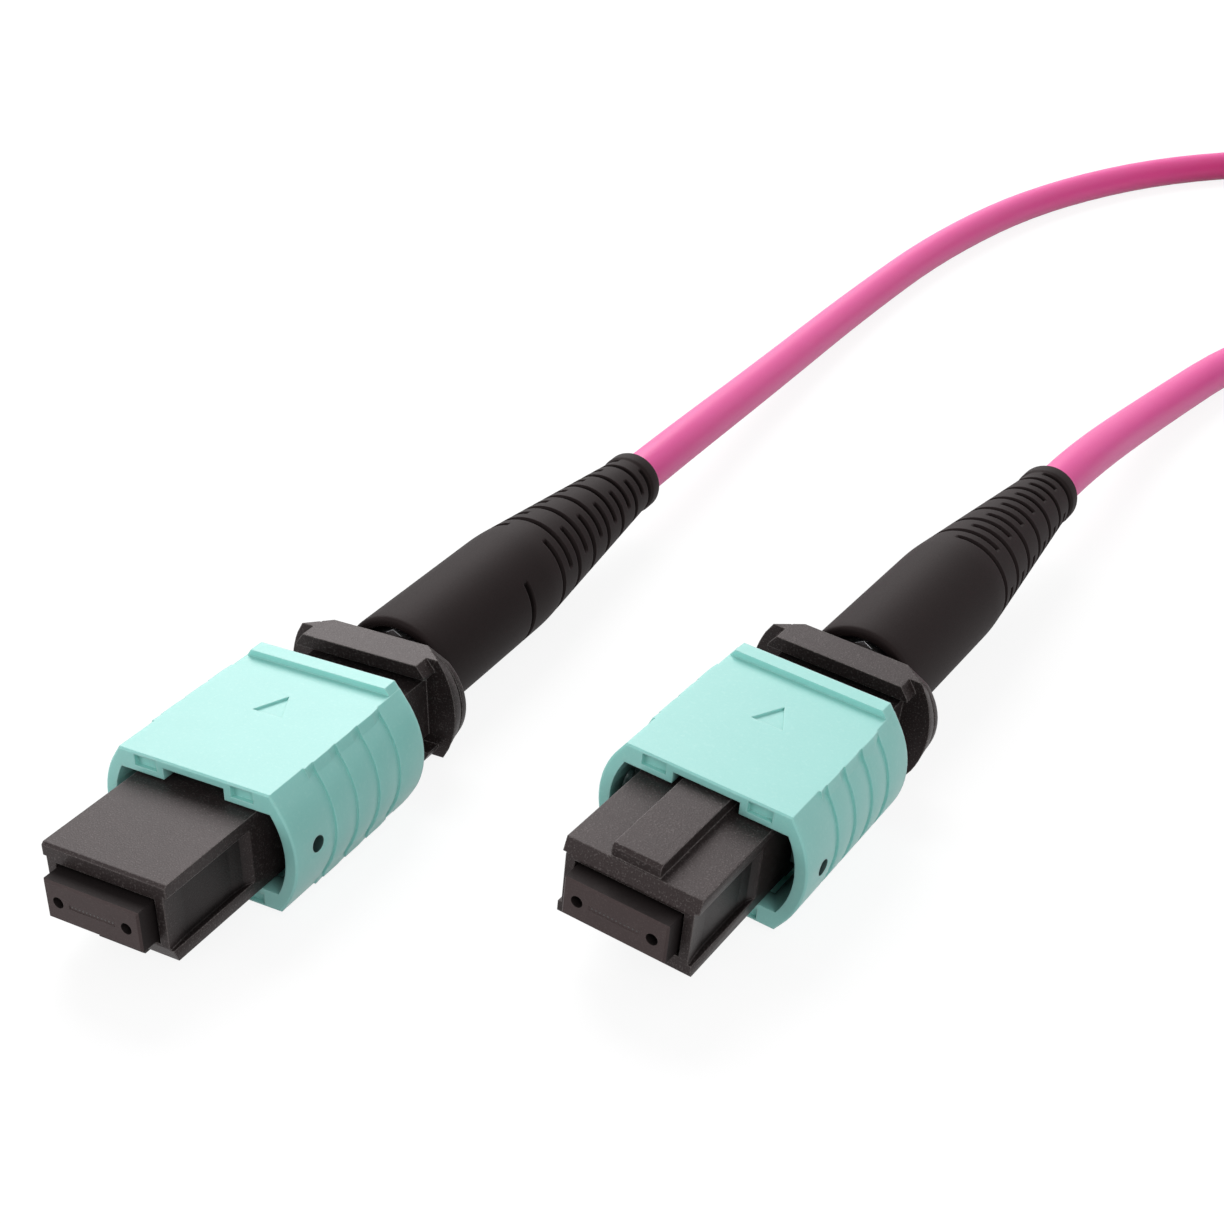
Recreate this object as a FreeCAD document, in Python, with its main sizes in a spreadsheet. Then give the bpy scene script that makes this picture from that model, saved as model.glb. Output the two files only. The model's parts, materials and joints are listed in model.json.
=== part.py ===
import FreeCAD, Part
import math
import os
import types
import Sketcher
from FreeCAD import Placement, Rotation, Vector

# Two push-on ribbon-fibre plugs on one trunk cord, lying on a table, in millimetres.
# Each plug is drawn along its own axis: X across, Y up, Z rearward from the front face of its inner
# housing. Its Placement then lays it on the table, where +Y runs rearward and +Z is up.

doc = FreeCAD.newDocument("TrunkCable")

NEAR = 1e-6
FULL_TURN = 360.0
HALF_TURN = 180.0
SPRING_STEPS = 8
TAPER_SIDES = 20
CORD_SIDES = 16
ARC_SHARE = 0.45
VOLUME_SHARE = 0.01

# Driving dimensions
SIZES = (
    ("ferrule_width", "6.4", "multi-fibre ferrule, standard width"),
    ("ferrule_height", "2.5", "multi-fibre ferrule, standard height"),
    ("ferrule_length", "8.0", "multi-fibre ferrule, standard length"),
    ("ferrule_proud", "1.2", "end face in front of the inner housing"),
    ("ferrule_bevel", "0.12", "edges of the end face"),
    ("shoulder_length", "2.0", "taller rear shoulder of the ferrule"),
    ("shoulder_height", "3.5", "taller rear shoulder of the ferrule"),
    ("pin_pitch", "4.6", "between the two guide pin holes, standard"),
    ("pin_hole_width", "0.7", "guide pin holes, standard"),
    ("pin_play", "0.1", "round the pins in the pin spacer"),
    ("ferrule_travel", "0.6", "how far the ferrule gives way"),
    ("fibre_window_width", "3.1", "row of fibre ends between the pins"),
    ("fibre_window_height", "0.3", "row of fibre ends between the pins"),
    ("fibre_window_depth", "0.04", "end face dished round the fibre row"),
    ("pocket_play", "0.1", "round the ferrule boot in its pocket"),
    ("small_boot_width", "2.0", "rubber boot behind the ferrule"),
    ("small_boot_height", "1.3", "rubber boot behind the ferrule"),
    ("small_boot_front", "5.3", "station of its front end in the ferrule"),
    ("small_boot_length", "3.7", "rubber boot behind the ferrule"),
    ("spacer_length", "1.1", "pin spacer between ferrule and spring"),
    ("bundle_radius", "0.6", "gathered fibres"),
    ("bundle_tail", "1.5", "end of the gathered fibres to the cord"),
    ("ferrule_spring_radius", "1.52", "middle of the wire"),
    ("ferrule_spring_wire", "0.16", "radius of the wire"),
    ("ferrule_spring_turns", "3", "turns of the ferrule spring"),
    ("plate_width", "8.3", "inner housing"),
    ("plate_height", "5.0", "inner housing"),
    ("housing_length", "21.6", "inner housing"),
    ("window_play", "0.15", "ferrule to inner housing at each side"),
    ("window_rise", "0.2", "ferrule to inner housing above and below"),
    ("cavity_rise", "0.1", "ferrule shoulder to inner housing above and below"),
    ("nose_back", "0.35", "sloped front edge of the inner housing on the key side, length"),
    ("nose_drop", "0.9", "sloped front edge of the inner housing on the key side, height"),
    ("plain_nose", "0.15", "bevel of the front edge on the other side"),
    ("channel_height", "3.4", "latch channels in the housing sides"),
    ("channel_depth", "0.37", "latch channels in the housing sides"),
    ("channel_mouth", "0.22", "depth of the channels at the front"),
    ("channel_lead", "1.6", "length of the shallower channel mouth"),
    ("channel_floor_end", "5.4", "station where the channel floor curves out"),
    ("channel_knee", "6.25", "station halfway round that curve"),
    ("channel_knee_depth", "0.28", "depth halfway round that curve"),
    ("channel_end", "6.9", "station where the channel has run out"),
    ("key_width", "3.0", "polarity key"),
    ("key_height", "0.75", "polarity key above the plate"),
    ("key_front", "0.45", "station of the front of the key"),
    ("key_length", "17.0", "polarity key"),
    ("key_bevel", "0.2", "front edges of the key"),
    ("bump_inside", "2.6", "stop bumps of the housing, near edge from the middle"),
    ("bump_outside", "4.0", "stop bumps of the housing, far edge from the middle"),
    ("bump_height", "0.5", "stop bumps above the plate"),
    ("bump_front", "11.0", "station of the stop bumps"),
    ("bump_length", "1.0", "stop bumps along the plug"),
    ("ear_reach", "1.05", "spring seats beyond the sides of the housing"),
    ("ear_height", "2.4", "spring seats on the housing"),
    ("ear_back", "2.3", "spring seats from the end of the housing"),
    ("ear_length", "1.5", "spring seats along the plug"),
    ("hook_height", "1.8", "hooks of the rear body in the housing sides"),
    ("hook_front", "16.5", "station of the hooks"),
    ("hook_length", "1.6", "hooks along the plug"),
    ("hook_reach", "0.75", "hooks sideways"),
    ("hook_play", "0.1", "hook to window"),
    ("sleeve_front", "7.5", "station of the front of the coupling sleeve"),
    ("sleeve_length", "12.6", "coupling sleeve along the plug"),
    ("sleeve_half_height", "3.9", "flat top and bottom of the sleeve"),
    ("sleeve_bevel", "0.4", "long edges of the sleeve, across"),
    ("sleeve_bow", "1.05", "how far the sides of the sleeve bow out"),
    ("sleeve_edge_height", "3.3", "height of the lower end of the bevel"),
    ("sleeve_wall", "0.77", "side wall at the middle of the bowed side"),
    ("sleeve_travel", "2.0", "how far the sleeve is pulled back"),
    ("slide_play", "0.15", "housing plates to the pads of the sleeve"),
    ("corner_room", "1.0", "sleeve opening beside the housing at the pads"),
    ("key_slot_half", "2.1", "half width of the key slots"),
    ("key_play", "0.15", "key to the roof of its slot"),
    ("front_pad_length", "1.4", "pads at the sleeve mouth"),
    ("stop_play", "0.1", "stop bumps to the pads"),
    ("recess_play", "0.4", "stop bumps to the ends of their recess"),
    ("peep_inside", "2.55", "small recesses in the front pads, near edge"),
    ("peep_outside", "4.1", "small recesses in the front pads, far edge"),
    ("peep_low", "3.0", "small recesses in the front pads, lower edge"),
    ("peep_high", "3.72", "small recesses in the front pads, upper edge"),
    ("peep_depth", "0.3", "small recesses in the front pads"),
    ("side_hole_width", "1.0", "round hole in each side of the sleeve"),
    ("side_hole_station", "9.5", "station of the side holes"),
    ("grip_first", "11.3", "station of the first riser"),
    ("grip_pitch", "2.13", "between risers"),
    ("grip_teeth", "3", "full grip teeth on each side"),
    ("grip_depth", "0.18", "height of a riser at the middle of the side"),
    ("grip_notch", "0.26", "height of a riser at the long edges"),
    ("grip_ramp", "0.75", "slope in front of each riser"),
    ("grip_edge", "0.06", "long edges of the sleeve at the grip teeth, across"),
    ("lip_length", "1.05", "raised lip at the rear of the sleeve"),
    ("lip_height", "0.45", "raised lip at the rear of the sleeve"),
    ("lip_inset", "0.35", "ends of the lip from the flat top"),
    ("mouth_bevel", "0.1", "edges of the sleeve at its mouth"),
    ("step_play", "0.25", "spring steps of the sleeve to the sides of the housing"),
    ("step_front", "10.2", "station of the spring steps"),
    ("step_length", "0.8", "spring steps along the plug"),
    ("arrow_half_width", "1.03", "plain triangle on the sleeve"),
    ("arrow_front", "14.2", "station of the base of the triangle"),
    ("arrow_length", "2.1", "plain triangle on the sleeve"),
    ("arrow_depth", "0.08", "plain triangle on the sleeve"),
    ("spring_play", "0.16", "coupling springs to the sides of the housing"),
    ("spring_room", "0.45", "coupling springs to the sleeve"),
    ("coupling_spring_radius", "0.46", "middle of the wire"),
    ("coupling_spring_wire", "0.1", "radius of the wire"),
    ("coupling_spring_turns", "3", "turns of a coupling spring"),
    ("block_play", "0.15", "rear body to the housing bore at each side"),
    ("block_front", "15.5", "station of the spring seat of the rear body"),
    ("neck_half_width", "4.1", "neck of the rear body"),
    ("neck_half_height", "2.0", "neck of the rear body"),
    ("flange_gap", "1.65", "inner housing to the flange"),
    ("flange_groove", "0.16", "fine groove round the flange plate, length"),
    ("flange_groove_depth", "0.15", "fine groove round the flange plate"),
    ("flange_groove_back", "0.6", "fine groove from the rear of the flange"),
    ("flange_length", "2.45", "flange of the rear body"),
    ("flange_half_height", "3.5", "flat top and bottom of the flange"),
    ("flange_flat_half", "5.06", "half width of the flat top of the plate"),
    ("flange_edge_half", "5.5", "half width of the plate below the bevel"),
    ("flange_edge_height", "2.75", "height of the lower end of the bevel"),
    ("flange_bulge_half", "6.1", "half width at the middle of the bowed sides"),
    ("flange_cut", "1.56", "how far the cut corners of the plate come in"),
    ("flange_bar", "1.15", "bars in front of the plate, along the plug"),
    ("flange_bar_half", "4.2", "half width of the flat of the bars"),
    ("flange_bar_edge", "4.75", "half width of the bars below the bevel"),
    ("flange_open", "2.6", "inner edge of the bars"),
    ("stem_radius", "2.2", "crimp stem of the rear body"),
    ("stem_length", "8.8", "crimp stem of the rear body"),
    ("stem_collar_radius", "2.8", "collar at the root of the stem"),
    ("fibre_bore_radius", "1.0", "bore of the rear body"),
    ("crimp_play", "0.05", "crimp sleeve to stem"),
    ("crimp_wall", "0.4", "crimp sleeve"),
    ("boot_gap", "1.3", "flange to the strain relief"),
    ("boot_length", "33.0", "strain relief"),
    ("boot_radius", "3.83", "cylinder of the strain relief"),
    ("boot_edge", "0.3", "rounded front edge of the strain relief"),
    ("boot_cylinder", "13.9", "strain relief in front of its taper"),
    ("boot_tail_radius", "2.2", "end of the taper"),
    ("boot_collar", "1.4", "end collar along the plug"),
    ("boot_collar_radius", "2.32", "end collar"),
    ("boot_collar_edge", "0.35", "rounded edges of the end collar"),
    ("boot_play", "0.1", "strain relief to crimp sleeve"),
    ("cord_play", "0.05", "strain relief to cord"),
    ("slot_lead", "1.5", "start of the taper to the first bend slot"),
    ("slot_pitch", "1.325", "between bend slots"),
    ("slot_width", "0.32", "bend slots along the plug"),
    ("slot_floor_radius", "1.93", "floor of the bend slots"),
    ("slot_top_radius", "5.0", "beyond the skin of the strain relief"),
    ("slot_sweep_deg", "128", "degrees swept by one slot"),
    ("slot_count_even", "7", "slot pairs at the first, third and following stations"),
    ("slot_count_odd", "6", "slot pairs at the second, fourth and following stations"),
    ("notch_lead", "2.95", "side notch of the strain relief to the start of its taper"),
    ("notch_width", "0.36", "side notch along the plug"),
    ("notch_depth", "0.5", "side notch"),
    ("notch_sweep_deg", "86", "degrees swept by the side notch"),
    ("cord_radius", "1.65", "round trunk cord"),
    ("cord_straight", "7.0", "straight cord behind the strain relief"),
    ("left_front_x", "-10.96", "left plug on the table"),
    ("left_front_y", "-36.14", "left plug on the table"),
    ("left_yaw_deg", "4.61", "degrees, left plug turned on the table"),
    ("left_boot_phase_deg", "168", "degrees, where the first slots of the left boot face"),
    ("right_front_x", "12.55", "right plug on the table"),
    ("right_front_y", "-22.4", "right plug on the table"),
    ("right_lean_deg", "6.0", "degrees, right plug leaning on one lower edge"),
    ("right_boot_phase_deg", "33", "degrees, where the first slots of the right boot face"),
    ("coil_x", "34.0", "middle of the coil on the table"),
    ("coil_y", "134.0", "middle of the coil on the table"),
    ("coil_inner_turn", "14.7", "radius of the innermost turn"),
    ("coil_column_count", "5", "turns side by side"),
    ("coil_layer_count", "4", "turns on top of each other"),
    ("coil_lead", "16.0", "straight cord onto the coil"),
    ("tie_thickness", "0.8", "strap round the coil"),
    ("tie_width", "5.0", "strap round the coil"),
    ("tie_play", "0.1", "strap to coil"),
    ("tie_turn_deg", "20.0", "degrees, place of the strap on the coil"),
)

sheet = doc.addObject("Spreadsheet::Sheet", "Sheet")
for row, (alias, value, note) in enumerate(SIZES, start=1):
    sheet.set("A%d" % row, alias)
    sheet.set("B%d" % row, value)
    sheet.set("C%d" % row, note)
    sheet.setAlias("B%d" % row, alias)
doc.recompute()


class Size:
    """A number together with the sheet expression it comes from."""

    def __init__(self, value, text):
        self.value = value
        self.text = text

    def __add__(self, other):
        other = as_size(other)
        return Size(self.value + other.value, "(%s + %s)" % (self.text, other.text))

    def __sub__(self, other):
        other = as_size(other)
        return Size(self.value - other.value, "(%s - %s)" % (self.text, other.text))

    def __mul__(self, other):
        other = as_size(other)
        return Size(self.value * other.value, "(%s * %s)" % (self.text, other.text))

    def __truediv__(self, other):
        other = as_size(other)
        return Size(self.value / other.value, "(%s / %s)" % (self.text, other.text))

    def __neg__(self):
        return Size(-self.value, "(0 - %s)" % self.text)


def as_size(thing):
    if isinstance(thing, Size):
        return thing
    return Size(float(thing), repr(float(thing)))


s = types.SimpleNamespace(**{
    alias: Size(float(sheet.get(alias)), "Sheet." + alias) for alias, value, note in SIZES})
HEXAGON_CORNERS = 6
EDGE_SHARE = 0.35

# Sizes that follow from the driving ones
ledge = s.ferrule_length - s.ferrule_proud - s.shoulder_length
ferrule_rear = s.ferrule_length - s.ferrule_proud
spacer_rear = ferrule_rear + s.spacer_length
small_boot_rear = s.small_boot_front + s.small_boot_length
plate_half = s.plate_width / 2
plate_top = s.plate_height / 2
window_half = s.ferrule_width / 2 + s.window_play
cavity_half_height = s.shoulder_height / 2 + s.cavity_rise
pad_height = plate_top + s.slide_play
slot_roof = plate_top + s.key_height + s.key_play
ear_half_width = plate_half + s.ear_reach
ear_front = s.housing_length - s.ear_back
step_inside = plate_half + s.step_play
recess_half = s.bump_outside + s.recess_play
cavity_corner_half = plate_half + s.corner_room
spring_reach = s.coupling_spring_radius + s.coupling_spring_wire
coupling_spring_offset = plate_half + s.spring_play + spring_reach
sleeve_bulge_half = coupling_spring_offset + spring_reach + s.spring_room + s.sleeve_wall
sleeve_edge_half = sleeve_bulge_half - s.sleeve_bow
sleeve_flat_half = sleeve_edge_half - s.sleeve_bevel
sleeve_rear = s.sleeve_front + s.sleeve_length
lip_half = sleeve_flat_half - s.lip_inset
lip_top = s.sleeve_half_height + s.lip_height
step_rear = s.step_front + s.step_length
front_pad_rear = s.sleeve_front + s.front_pad_length
rear_pad_front = s.bump_front + s.bump_length + s.stop_play
grip_start = s.grip_first - s.grip_ramp
grip_last = s.grip_first + s.grip_pitch * s.grip_teeth
grip_land = s.grip_pitch - s.grip_ramp
block_half = window_half - s.block_play
block_half_height = cavity_half_height - s.block_play
flange_front = s.housing_length + s.flange_gap
flange_rear = flange_front + s.flange_length
plate_front = flange_front + s.flange_bar
groove_front = flange_rear - s.flange_groove_back
stem_rear = flange_rear + s.stem_length
bundle_end = stem_rear - s.bundle_tail
boot_front = flange_rear + s.boot_gap
boot_end = boot_front + s.boot_length
boot_kink = boot_front + s.boot_cylinder
boot_collar_start = boot_end - s.boot_collar
slot_first = boot_kink + s.slot_lead
crimp_bore = s.stem_radius + s.crimp_play
crimp_flat = crimp_bore + s.crimp_wall
crimp_corner = crimp_flat * 2 / math.sqrt(3)
boot_bore = crimp_corner + s.boot_play
boot_throat = s.cord_radius + s.cord_play
coil_pitch = s.cord_radius * 2
coil_outer_turn = s.coil_inner_turn + coil_pitch * (s.coil_column_count - 1)
coil_hole = s.coil_inner_turn - s.cord_radius
coil_rim = coil_outer_turn + s.cord_radius
coil_top = s.tie_thickness + coil_pitch * s.coil_layer_count


# Drawing helpers
def origin_item(body, role):
    return [item for item in body.Origin.OriginFeatures if item.Role == role][0]


def new_body(name):
    body = doc.addObject("PartDesign::Body", name)
    body.Label = name
    return body


def new_sketch(body, name, role="XY_Plane", station=None):
    sketch = body.newObject("Sketcher::SketchObject", body.Name + "_" + name)
    sketch.AttachmentSupport = [(origin_item(body, role), "")]
    sketch.MapMode = "FlatFace"
    if station is not None:
        sketch.setExpression("AttachmentOffset.Base.z", as_size(station).text)
    return sketch


def flat(point):
    return Vector(as_size(point[0]).value, as_size(point[1]).value, 0)


def pin(sketch, item, end, point):
    """Tie one end of a sketch item to the origin by two sheet sizes."""
    for kind, axis, length in (("DistanceX", -2, point[0]), ("DistanceY", -1, point[1])):
        length = as_size(length)
        if abs(length.value) < NEAR:
            sketch.addConstraint(Sketcher.Constraint("PointOnObject", item, end, axis))
            continue
        if length.value > 0:
            rule = Sketcher.Constraint(kind, -1, 1, item, end, length.value)
        else:
            length = -length
            rule = Sketcher.Constraint(kind, item, end, -1, 1, length.value)
        index = sketch.addConstraint(rule)
        sketch.setExpression("Constraints[%d]" % index, length.text)


def polygon(sketch, points):
    first = sketch.GeometryCount
    count = len(points)
    for i in range(count):
        sketch.addGeometry(Part.LineSegment(flat(points[i]), flat(points[(i + 1) % count])), False)
    for i in range(count):
        follower = first + (i + 1) % count
        sketch.addConstraint(Sketcher.Constraint("Coincident", first + i, 2, follower, 1))
    for i in range(count):
        pin(sketch, first + i, 1, points[i])


def rectangle(sketch, left, right, low, high):
    polygon(sketch, [(left, low), (right, low), (right, high), (left, high)])


def centred(sketch, half_width, half_height):
    rectangle(sketch, -as_size(half_width), half_width, -as_size(half_height), half_height)


def both_sides(sketch, near, far, low, high):
    rectangle(sketch, near, far, low, high)
    rectangle(sketch, -as_size(far), -as_size(near), low, high)


def circle(sketch, radius, x=0.0, y=0.0):
    radius = as_size(radius)
    item = sketch.addGeometry(Part.Circle(flat((x, y)), Vector(0, 0, 1), radius.value), False)
    index = sketch.addConstraint(Sketcher.Constraint("Radius", item, radius.value))
    sketch.setExpression("Constraints[%d]" % index, radius.text)
    if abs(as_size(x).value) < NEAR and abs(as_size(y).value) < NEAR:
        sketch.addConstraint(Sketcher.Constraint("Coincident", item, 3, -1, 1))
    else:
        pin(sketch, item, 3, (x, y))


def barrel(sketch, corners, bulge):
    """Closed outline with flat top and bottom and bowed sides, given for its upper right quarter."""
    edge, height = corners[0]
    rise = bulge - edge
    bow = (height * height + rise * rise) / (rise * 2)
    centre = (bulge - bow).value
    spread = math.asin(height.value / bow.value)
    upper = list(corners) + [(-x, y) for x, y in reversed(corners)]
    lower = [(-x, -y) for x, y in corners] + [(x, -y) for x, y in reversed(corners)]
    ends = []
    for side, chain in ((1, upper), (-1, lower)):
        ring = Part.Circle(Vector(side * centre, 0, 0), Vector(0, 0, 1), bow.value)
        middle = 0.0 if side > 0 else math.pi
        arc = sketch.addGeometry(Part.ArcOfCircle(ring, middle - spread, middle + spread), False)
        index = sketch.addConstraint(Sketcher.Constraint("Radius", arc, bow.value))
        sketch.setExpression("Constraints[%d]" % index, bow.text)
        previous = arc
        for start, stop in zip(chain[:-1], chain[1:]):
            line = sketch.addGeometry(Part.LineSegment(flat(start), flat(stop)), False)
            sketch.addConstraint(Sketcher.Constraint("Coincident", previous, 2, line, 1))
            pin(sketch, line, 1, start)
            previous = line
        pin(sketch, previous, 2, chain[-1])
        ends.append((arc, previous))
    (right, after_top), (left, after_bottom) = ends
    sketch.addConstraint(Sketcher.Constraint("Coincident", after_top, 2, left, 1))
    sketch.addConstraint(Sketcher.Constraint("Coincident", after_bottom, 2, right, 1))


def feature(body, kind, name, sketch):
    item = body.newObject("PartDesign::" + kind, body.Name + "_" + name)
    item.Profile = sketch
    sketch.Visibility = False
    return item


def pad(body, name, sketch, length):
    item = feature(body, "Pad", name, sketch)
    item.setExpression("Length", as_size(length).text)
    return item


def pocket(body, name, sketch, length):
    """Cut rearward from the sketch."""
    item = feature(body, "Pocket", name, sketch)
    item.Reversed = True
    item.setExpression("Length", as_size(length).text)
    return item


def cross_cut(body, name, sketch, length):
    """Cut to both sides of a lengthwise sketch."""
    item = feature(body, "Pocket", name, sketch)
    item.SideType = "Symmetric"
    item.setExpression("Length", as_size(length).text)
    return item


def loft(body, name, front, rear):
    item = feature(body, "AdditiveLoft", name, front)
    item.Sections = [rear]
    item.Ruled = True
    rear.Visibility = False
    return item


def revolve(body, kind, name, sketch, angle):
    item = feature(body, kind, name, sketch)
    item.ReferenceAxis = (sketch, ["V_Axis"])
    item.setExpression("Angle", as_size(angle).text)
    return item


def row_of(body, name, originals, count, pitch):
    item = body.newObject("PartDesign::LinearPattern", body.Name + "_" + name)
    item.Originals = originals
    item.Direction = (origin_item(body, "Z_Axis"), [""])
    item.setExpression("Occurrences", count.text)
    item.setExpression("Length", (pitch * (count - 1)).text)
    body.Tip = item
    return item


def bevel(body, name, base, edges, size):
    item = body.newObject("PartDesign::Chamfer", body.Name + "_" + name)
    item.Base = (base, edges)
    item.setExpression("Size", as_size(size).text)
    return item


def edges_where(base, chosen):
    """Names of the edges whose end points all satisfy a test."""
    doc.recompute()
    names = []
    for index, edge in enumerate(base.Shape.Edges, start=1):
        if all(chosen(vertex.Point) for vertex in edge.Vertexes) and len(edge.Vertexes) > 1:
            names.append("Edge%d" % index)
    return names


def close(a, b):
    return abs(a - as_size(b).value) < NEAR * 10


def polar(radius, angle):
    """A point at a distance and an angle in degrees, as two sheet sizes."""
    radius = as_size(radius)
    angle = as_size(angle)
    turn = math.radians(angle.value)
    return (Size(radius.value * math.cos(turn), "(%s * cos(%s * 1deg))" % (radius.text, angle.text)),
            Size(radius.value * math.sin(turn), "(%s * sin(%s * 1deg))" % (radius.text, angle.text)))


def coil_spring(radius, wire, start, stop, turns, offset=0.0):
    """A square wire wound in straight steps round a line along the plug, from seat to seat."""
    half = wire.value
    count = round(turns.value * SPRING_STEPS)
    rise = (stop.value - start.value - 2 * half) / count
    rings = []
    for i in range(count + 1):
        turn = 2 * math.pi * i / SPRING_STEPS
        level = start.value + half + rise * i
        ring = []
        for out, up in ((-half, -half), (half, -half), (half, half), (-half, half)):
            reach = radius.value + out
            ring.append(Vector(offset + reach * math.cos(turn), reach * math.sin(turn), level + up))
        rings.append(ring)
    faces = [Part.Face(Part.makePolygon(ring + ring[:1])) for ring in (rings[0], rings[-1])]
    for here, there in zip(rings[:-1], rings[1:]):
        for i in range(len(here)):
            k = (i + 1) % len(here)
            faces.append(Part.Face(Part.makePolygon([here[i], here[k], there[k], here[i]])))
            faces.append(Part.Face(Part.makePolygon([here[i], there[k], there[i], here[i]])))
    spring = Part.Solid(Part.makeShell(faces))
    spring.fix(NEAR, NEAR, NEAR)
    if spring.Volume < 0:
        spring.reverse()
    return spring


def plain_feature(name, shape):
    item = doc.addObject("Part::Feature", name)
    item.Label = name
    item.Shape = shape
    return item


# Pieces of one plug
def make_ferrule(name):
    body = new_body(name)
    front = -s.ferrule_proud
    face = new_sketch(body, "face", station=front)
    centred(face, s.ferrule_width / 2, s.ferrule_height / 2)
    bar = pad(body, "bar", face, s.ferrule_length)
    edges = edges_where(bar, lambda p: close(p.z, front))
    bevel(body, "face_bevel", bar, edges, s.ferrule_bevel)
    shoulder = new_sketch(body, "shoulder", station=ledge)
    centred(shoulder, s.ferrule_width / 2, s.shoulder_height / 2)
    pad(body, "shoulder_bar", shoulder, s.shoulder_length)
    holes = new_sketch(body, "pin_holes", station=front)
    circle(holes, s.pin_hole_width / 2, s.pin_pitch / 2, 0.0)
    circle(holes, s.pin_hole_width / 2, -(s.pin_pitch / 2), 0.0)
    pocket(body, "pin_bores", holes, s.ferrule_length)
    row = new_sketch(body, "fibre_row", station=front)
    centred(row, s.fibre_window_width / 2, s.fibre_window_height / 2)
    pocket(body, "fibre_dish", row, s.fibre_window_depth)
    rear = new_sketch(body, "rear_pocket", station=s.small_boot_front)
    centred(rear, s.small_boot_width / 2 + s.pocket_play, s.small_boot_height / 2 + s.pocket_play)
    pocket(body, "rear_opening", rear, ferrule_rear - s.small_boot_front)
    return body


def make_ferrule_boot(name):
    body = new_body(name)
    block = new_sketch(body, "block", station=s.small_boot_front)
    centred(block, s.small_boot_width / 2, s.small_boot_height / 2)
    pad(body, "bar", block, s.small_boot_length)
    return body


def make_pin_spacer(name):
    body = new_body(name)
    plate = new_sketch(body, "plate", station=ferrule_rear)
    centred(plate, s.ferrule_width / 2, s.shoulder_height / 2)
    pad(body, "slab", plate, s.spacer_length)
    openings = new_sketch(body, "openings", station=ferrule_rear)
    centred(openings, s.small_boot_width / 2 + s.pocket_play, s.small_boot_height / 2 + s.pocket_play)
    notch = s.pin_hole_width / 2 + s.pin_play
    both_sides(openings, s.pin_pitch / 2 - notch, s.ferrule_width / 2 + notch, -notch, notch)
    pocket(body, "cut", openings, s.spacer_length)
    return body


def make_fibre_bundle(name):
    body = new_body(name)
    section = new_sketch(body, "section", station=small_boot_rear)
    circle(section, s.bundle_radius)
    pad(body, "rod", section, bundle_end - small_boot_rear)
    return body


def make_ferrule_spring(name):
    return plain_feature(name, coil_spring(s.ferrule_spring_radius, s.ferrule_spring_wire, spacer_rear,
                                           s.block_front, s.ferrule_spring_turns))


def make_coupling_springs(name):
    offset = coupling_spring_offset.value
    pair = [coil_spring(s.coupling_spring_radius, s.coupling_spring_wire, step_rear, ear_front,
                        s.coupling_spring_turns, side * offset) for side in (1, -1)]
    return plain_feature(name, Part.makeCompound(pair))


def make_inner_housing(name):
    body = new_body(name)
    beyond = s.plate_width
    plates = new_sketch(body, "plates")
    centred(plates, plate_half, plate_top)
    pad(body, "plate_bar", plates, s.housing_length)
    nose = new_sketch(body, "nose", "YZ_Plane")
    high = plate_top * 2
    ahead = -s.nose_back
    for sign, back, fall in ((1.0, s.nose_back, s.nose_drop), (-1.0, s.plain_nose, s.plain_nose)):
        low = plate_top - fall
        polygon(nose, [(low * sign, 0.0), (plate_top * sign, back), (high * sign, back),
                       (high * sign, ahead), (low * sign, ahead)])
    cross_cut(body, "nose_slopes", nose, beyond * 2)
    channels = new_sketch(body, "channels", "XZ_Plane")
    mouth = plate_half - s.channel_mouth
    bed = plate_half - s.channel_depth
    knee = plate_half - s.channel_knee_depth
    outside = plate_half + s.channel_depth
    for sign in (1.0, -1.0):
        polygon(channels, [(mouth * sign, ahead), (mouth * sign, 0.0), (bed * sign, s.channel_lead),
                           (bed * sign, s.channel_floor_end), (knee * sign, s.channel_knee),
                           (plate_half * sign, s.channel_end), (outside * sign, s.channel_end),
                           (outside * sign, ahead)])
    cross_cut(body, "latch_channels", channels, s.channel_height)
    key = new_sketch(body, "key", station=s.key_front)
    rectangle(key, -(s.key_width / 2), s.key_width / 2, plate_top, plate_top + s.key_height)
    key_bar = pad(body, "key_bar", key, s.key_length)
    edges = edges_where(key_bar, lambda p: close(p.z, s.key_front) and p.y > plate_top.value + NEAR)
    key_edge = bevel(body, "key_bevel", key_bar, edges, s.key_bevel)
    bumps = new_sketch(body, "bumps", station=s.bump_front)
    both_sides(bumps, s.bump_inside, s.bump_outside, plate_top, plate_top + s.bump_height)
    both_sides(bumps, s.bump_inside, s.bump_outside, -(plate_top + s.bump_height), -plate_top)
    pad(body, "stop_bumps", bumps, s.bump_length)
    ears = new_sketch(body, "ears", station=ear_front)
    both_sides(ears, plate_half, ear_half_width, -(s.ear_height / 2), s.ear_height / 2)
    pad(body, "spring_seats", ears, s.ear_length)
    window = new_sketch(body, "window")
    centred(window, window_half, s.ferrule_height / 2 + s.window_rise)
    pocket(body, "front_window", window, ledge)
    bore = new_sketch(body, "bore", station=ledge)
    centred(bore, window_half, cavity_half_height)
    pocket(body, "long_bore", bore, s.housing_length - ledge)
    hooks = new_sketch(body, "hook_windows", "YZ_Plane")
    rectangle(hooks, -(s.hook_height / 2 + s.hook_play), s.hook_height / 2 + s.hook_play,
              s.hook_front - s.hook_play, s.hook_front + s.hook_length + s.hook_play)
    cross_cut(body, "side_windows", hooks, beyond * 2)
    return body


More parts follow.
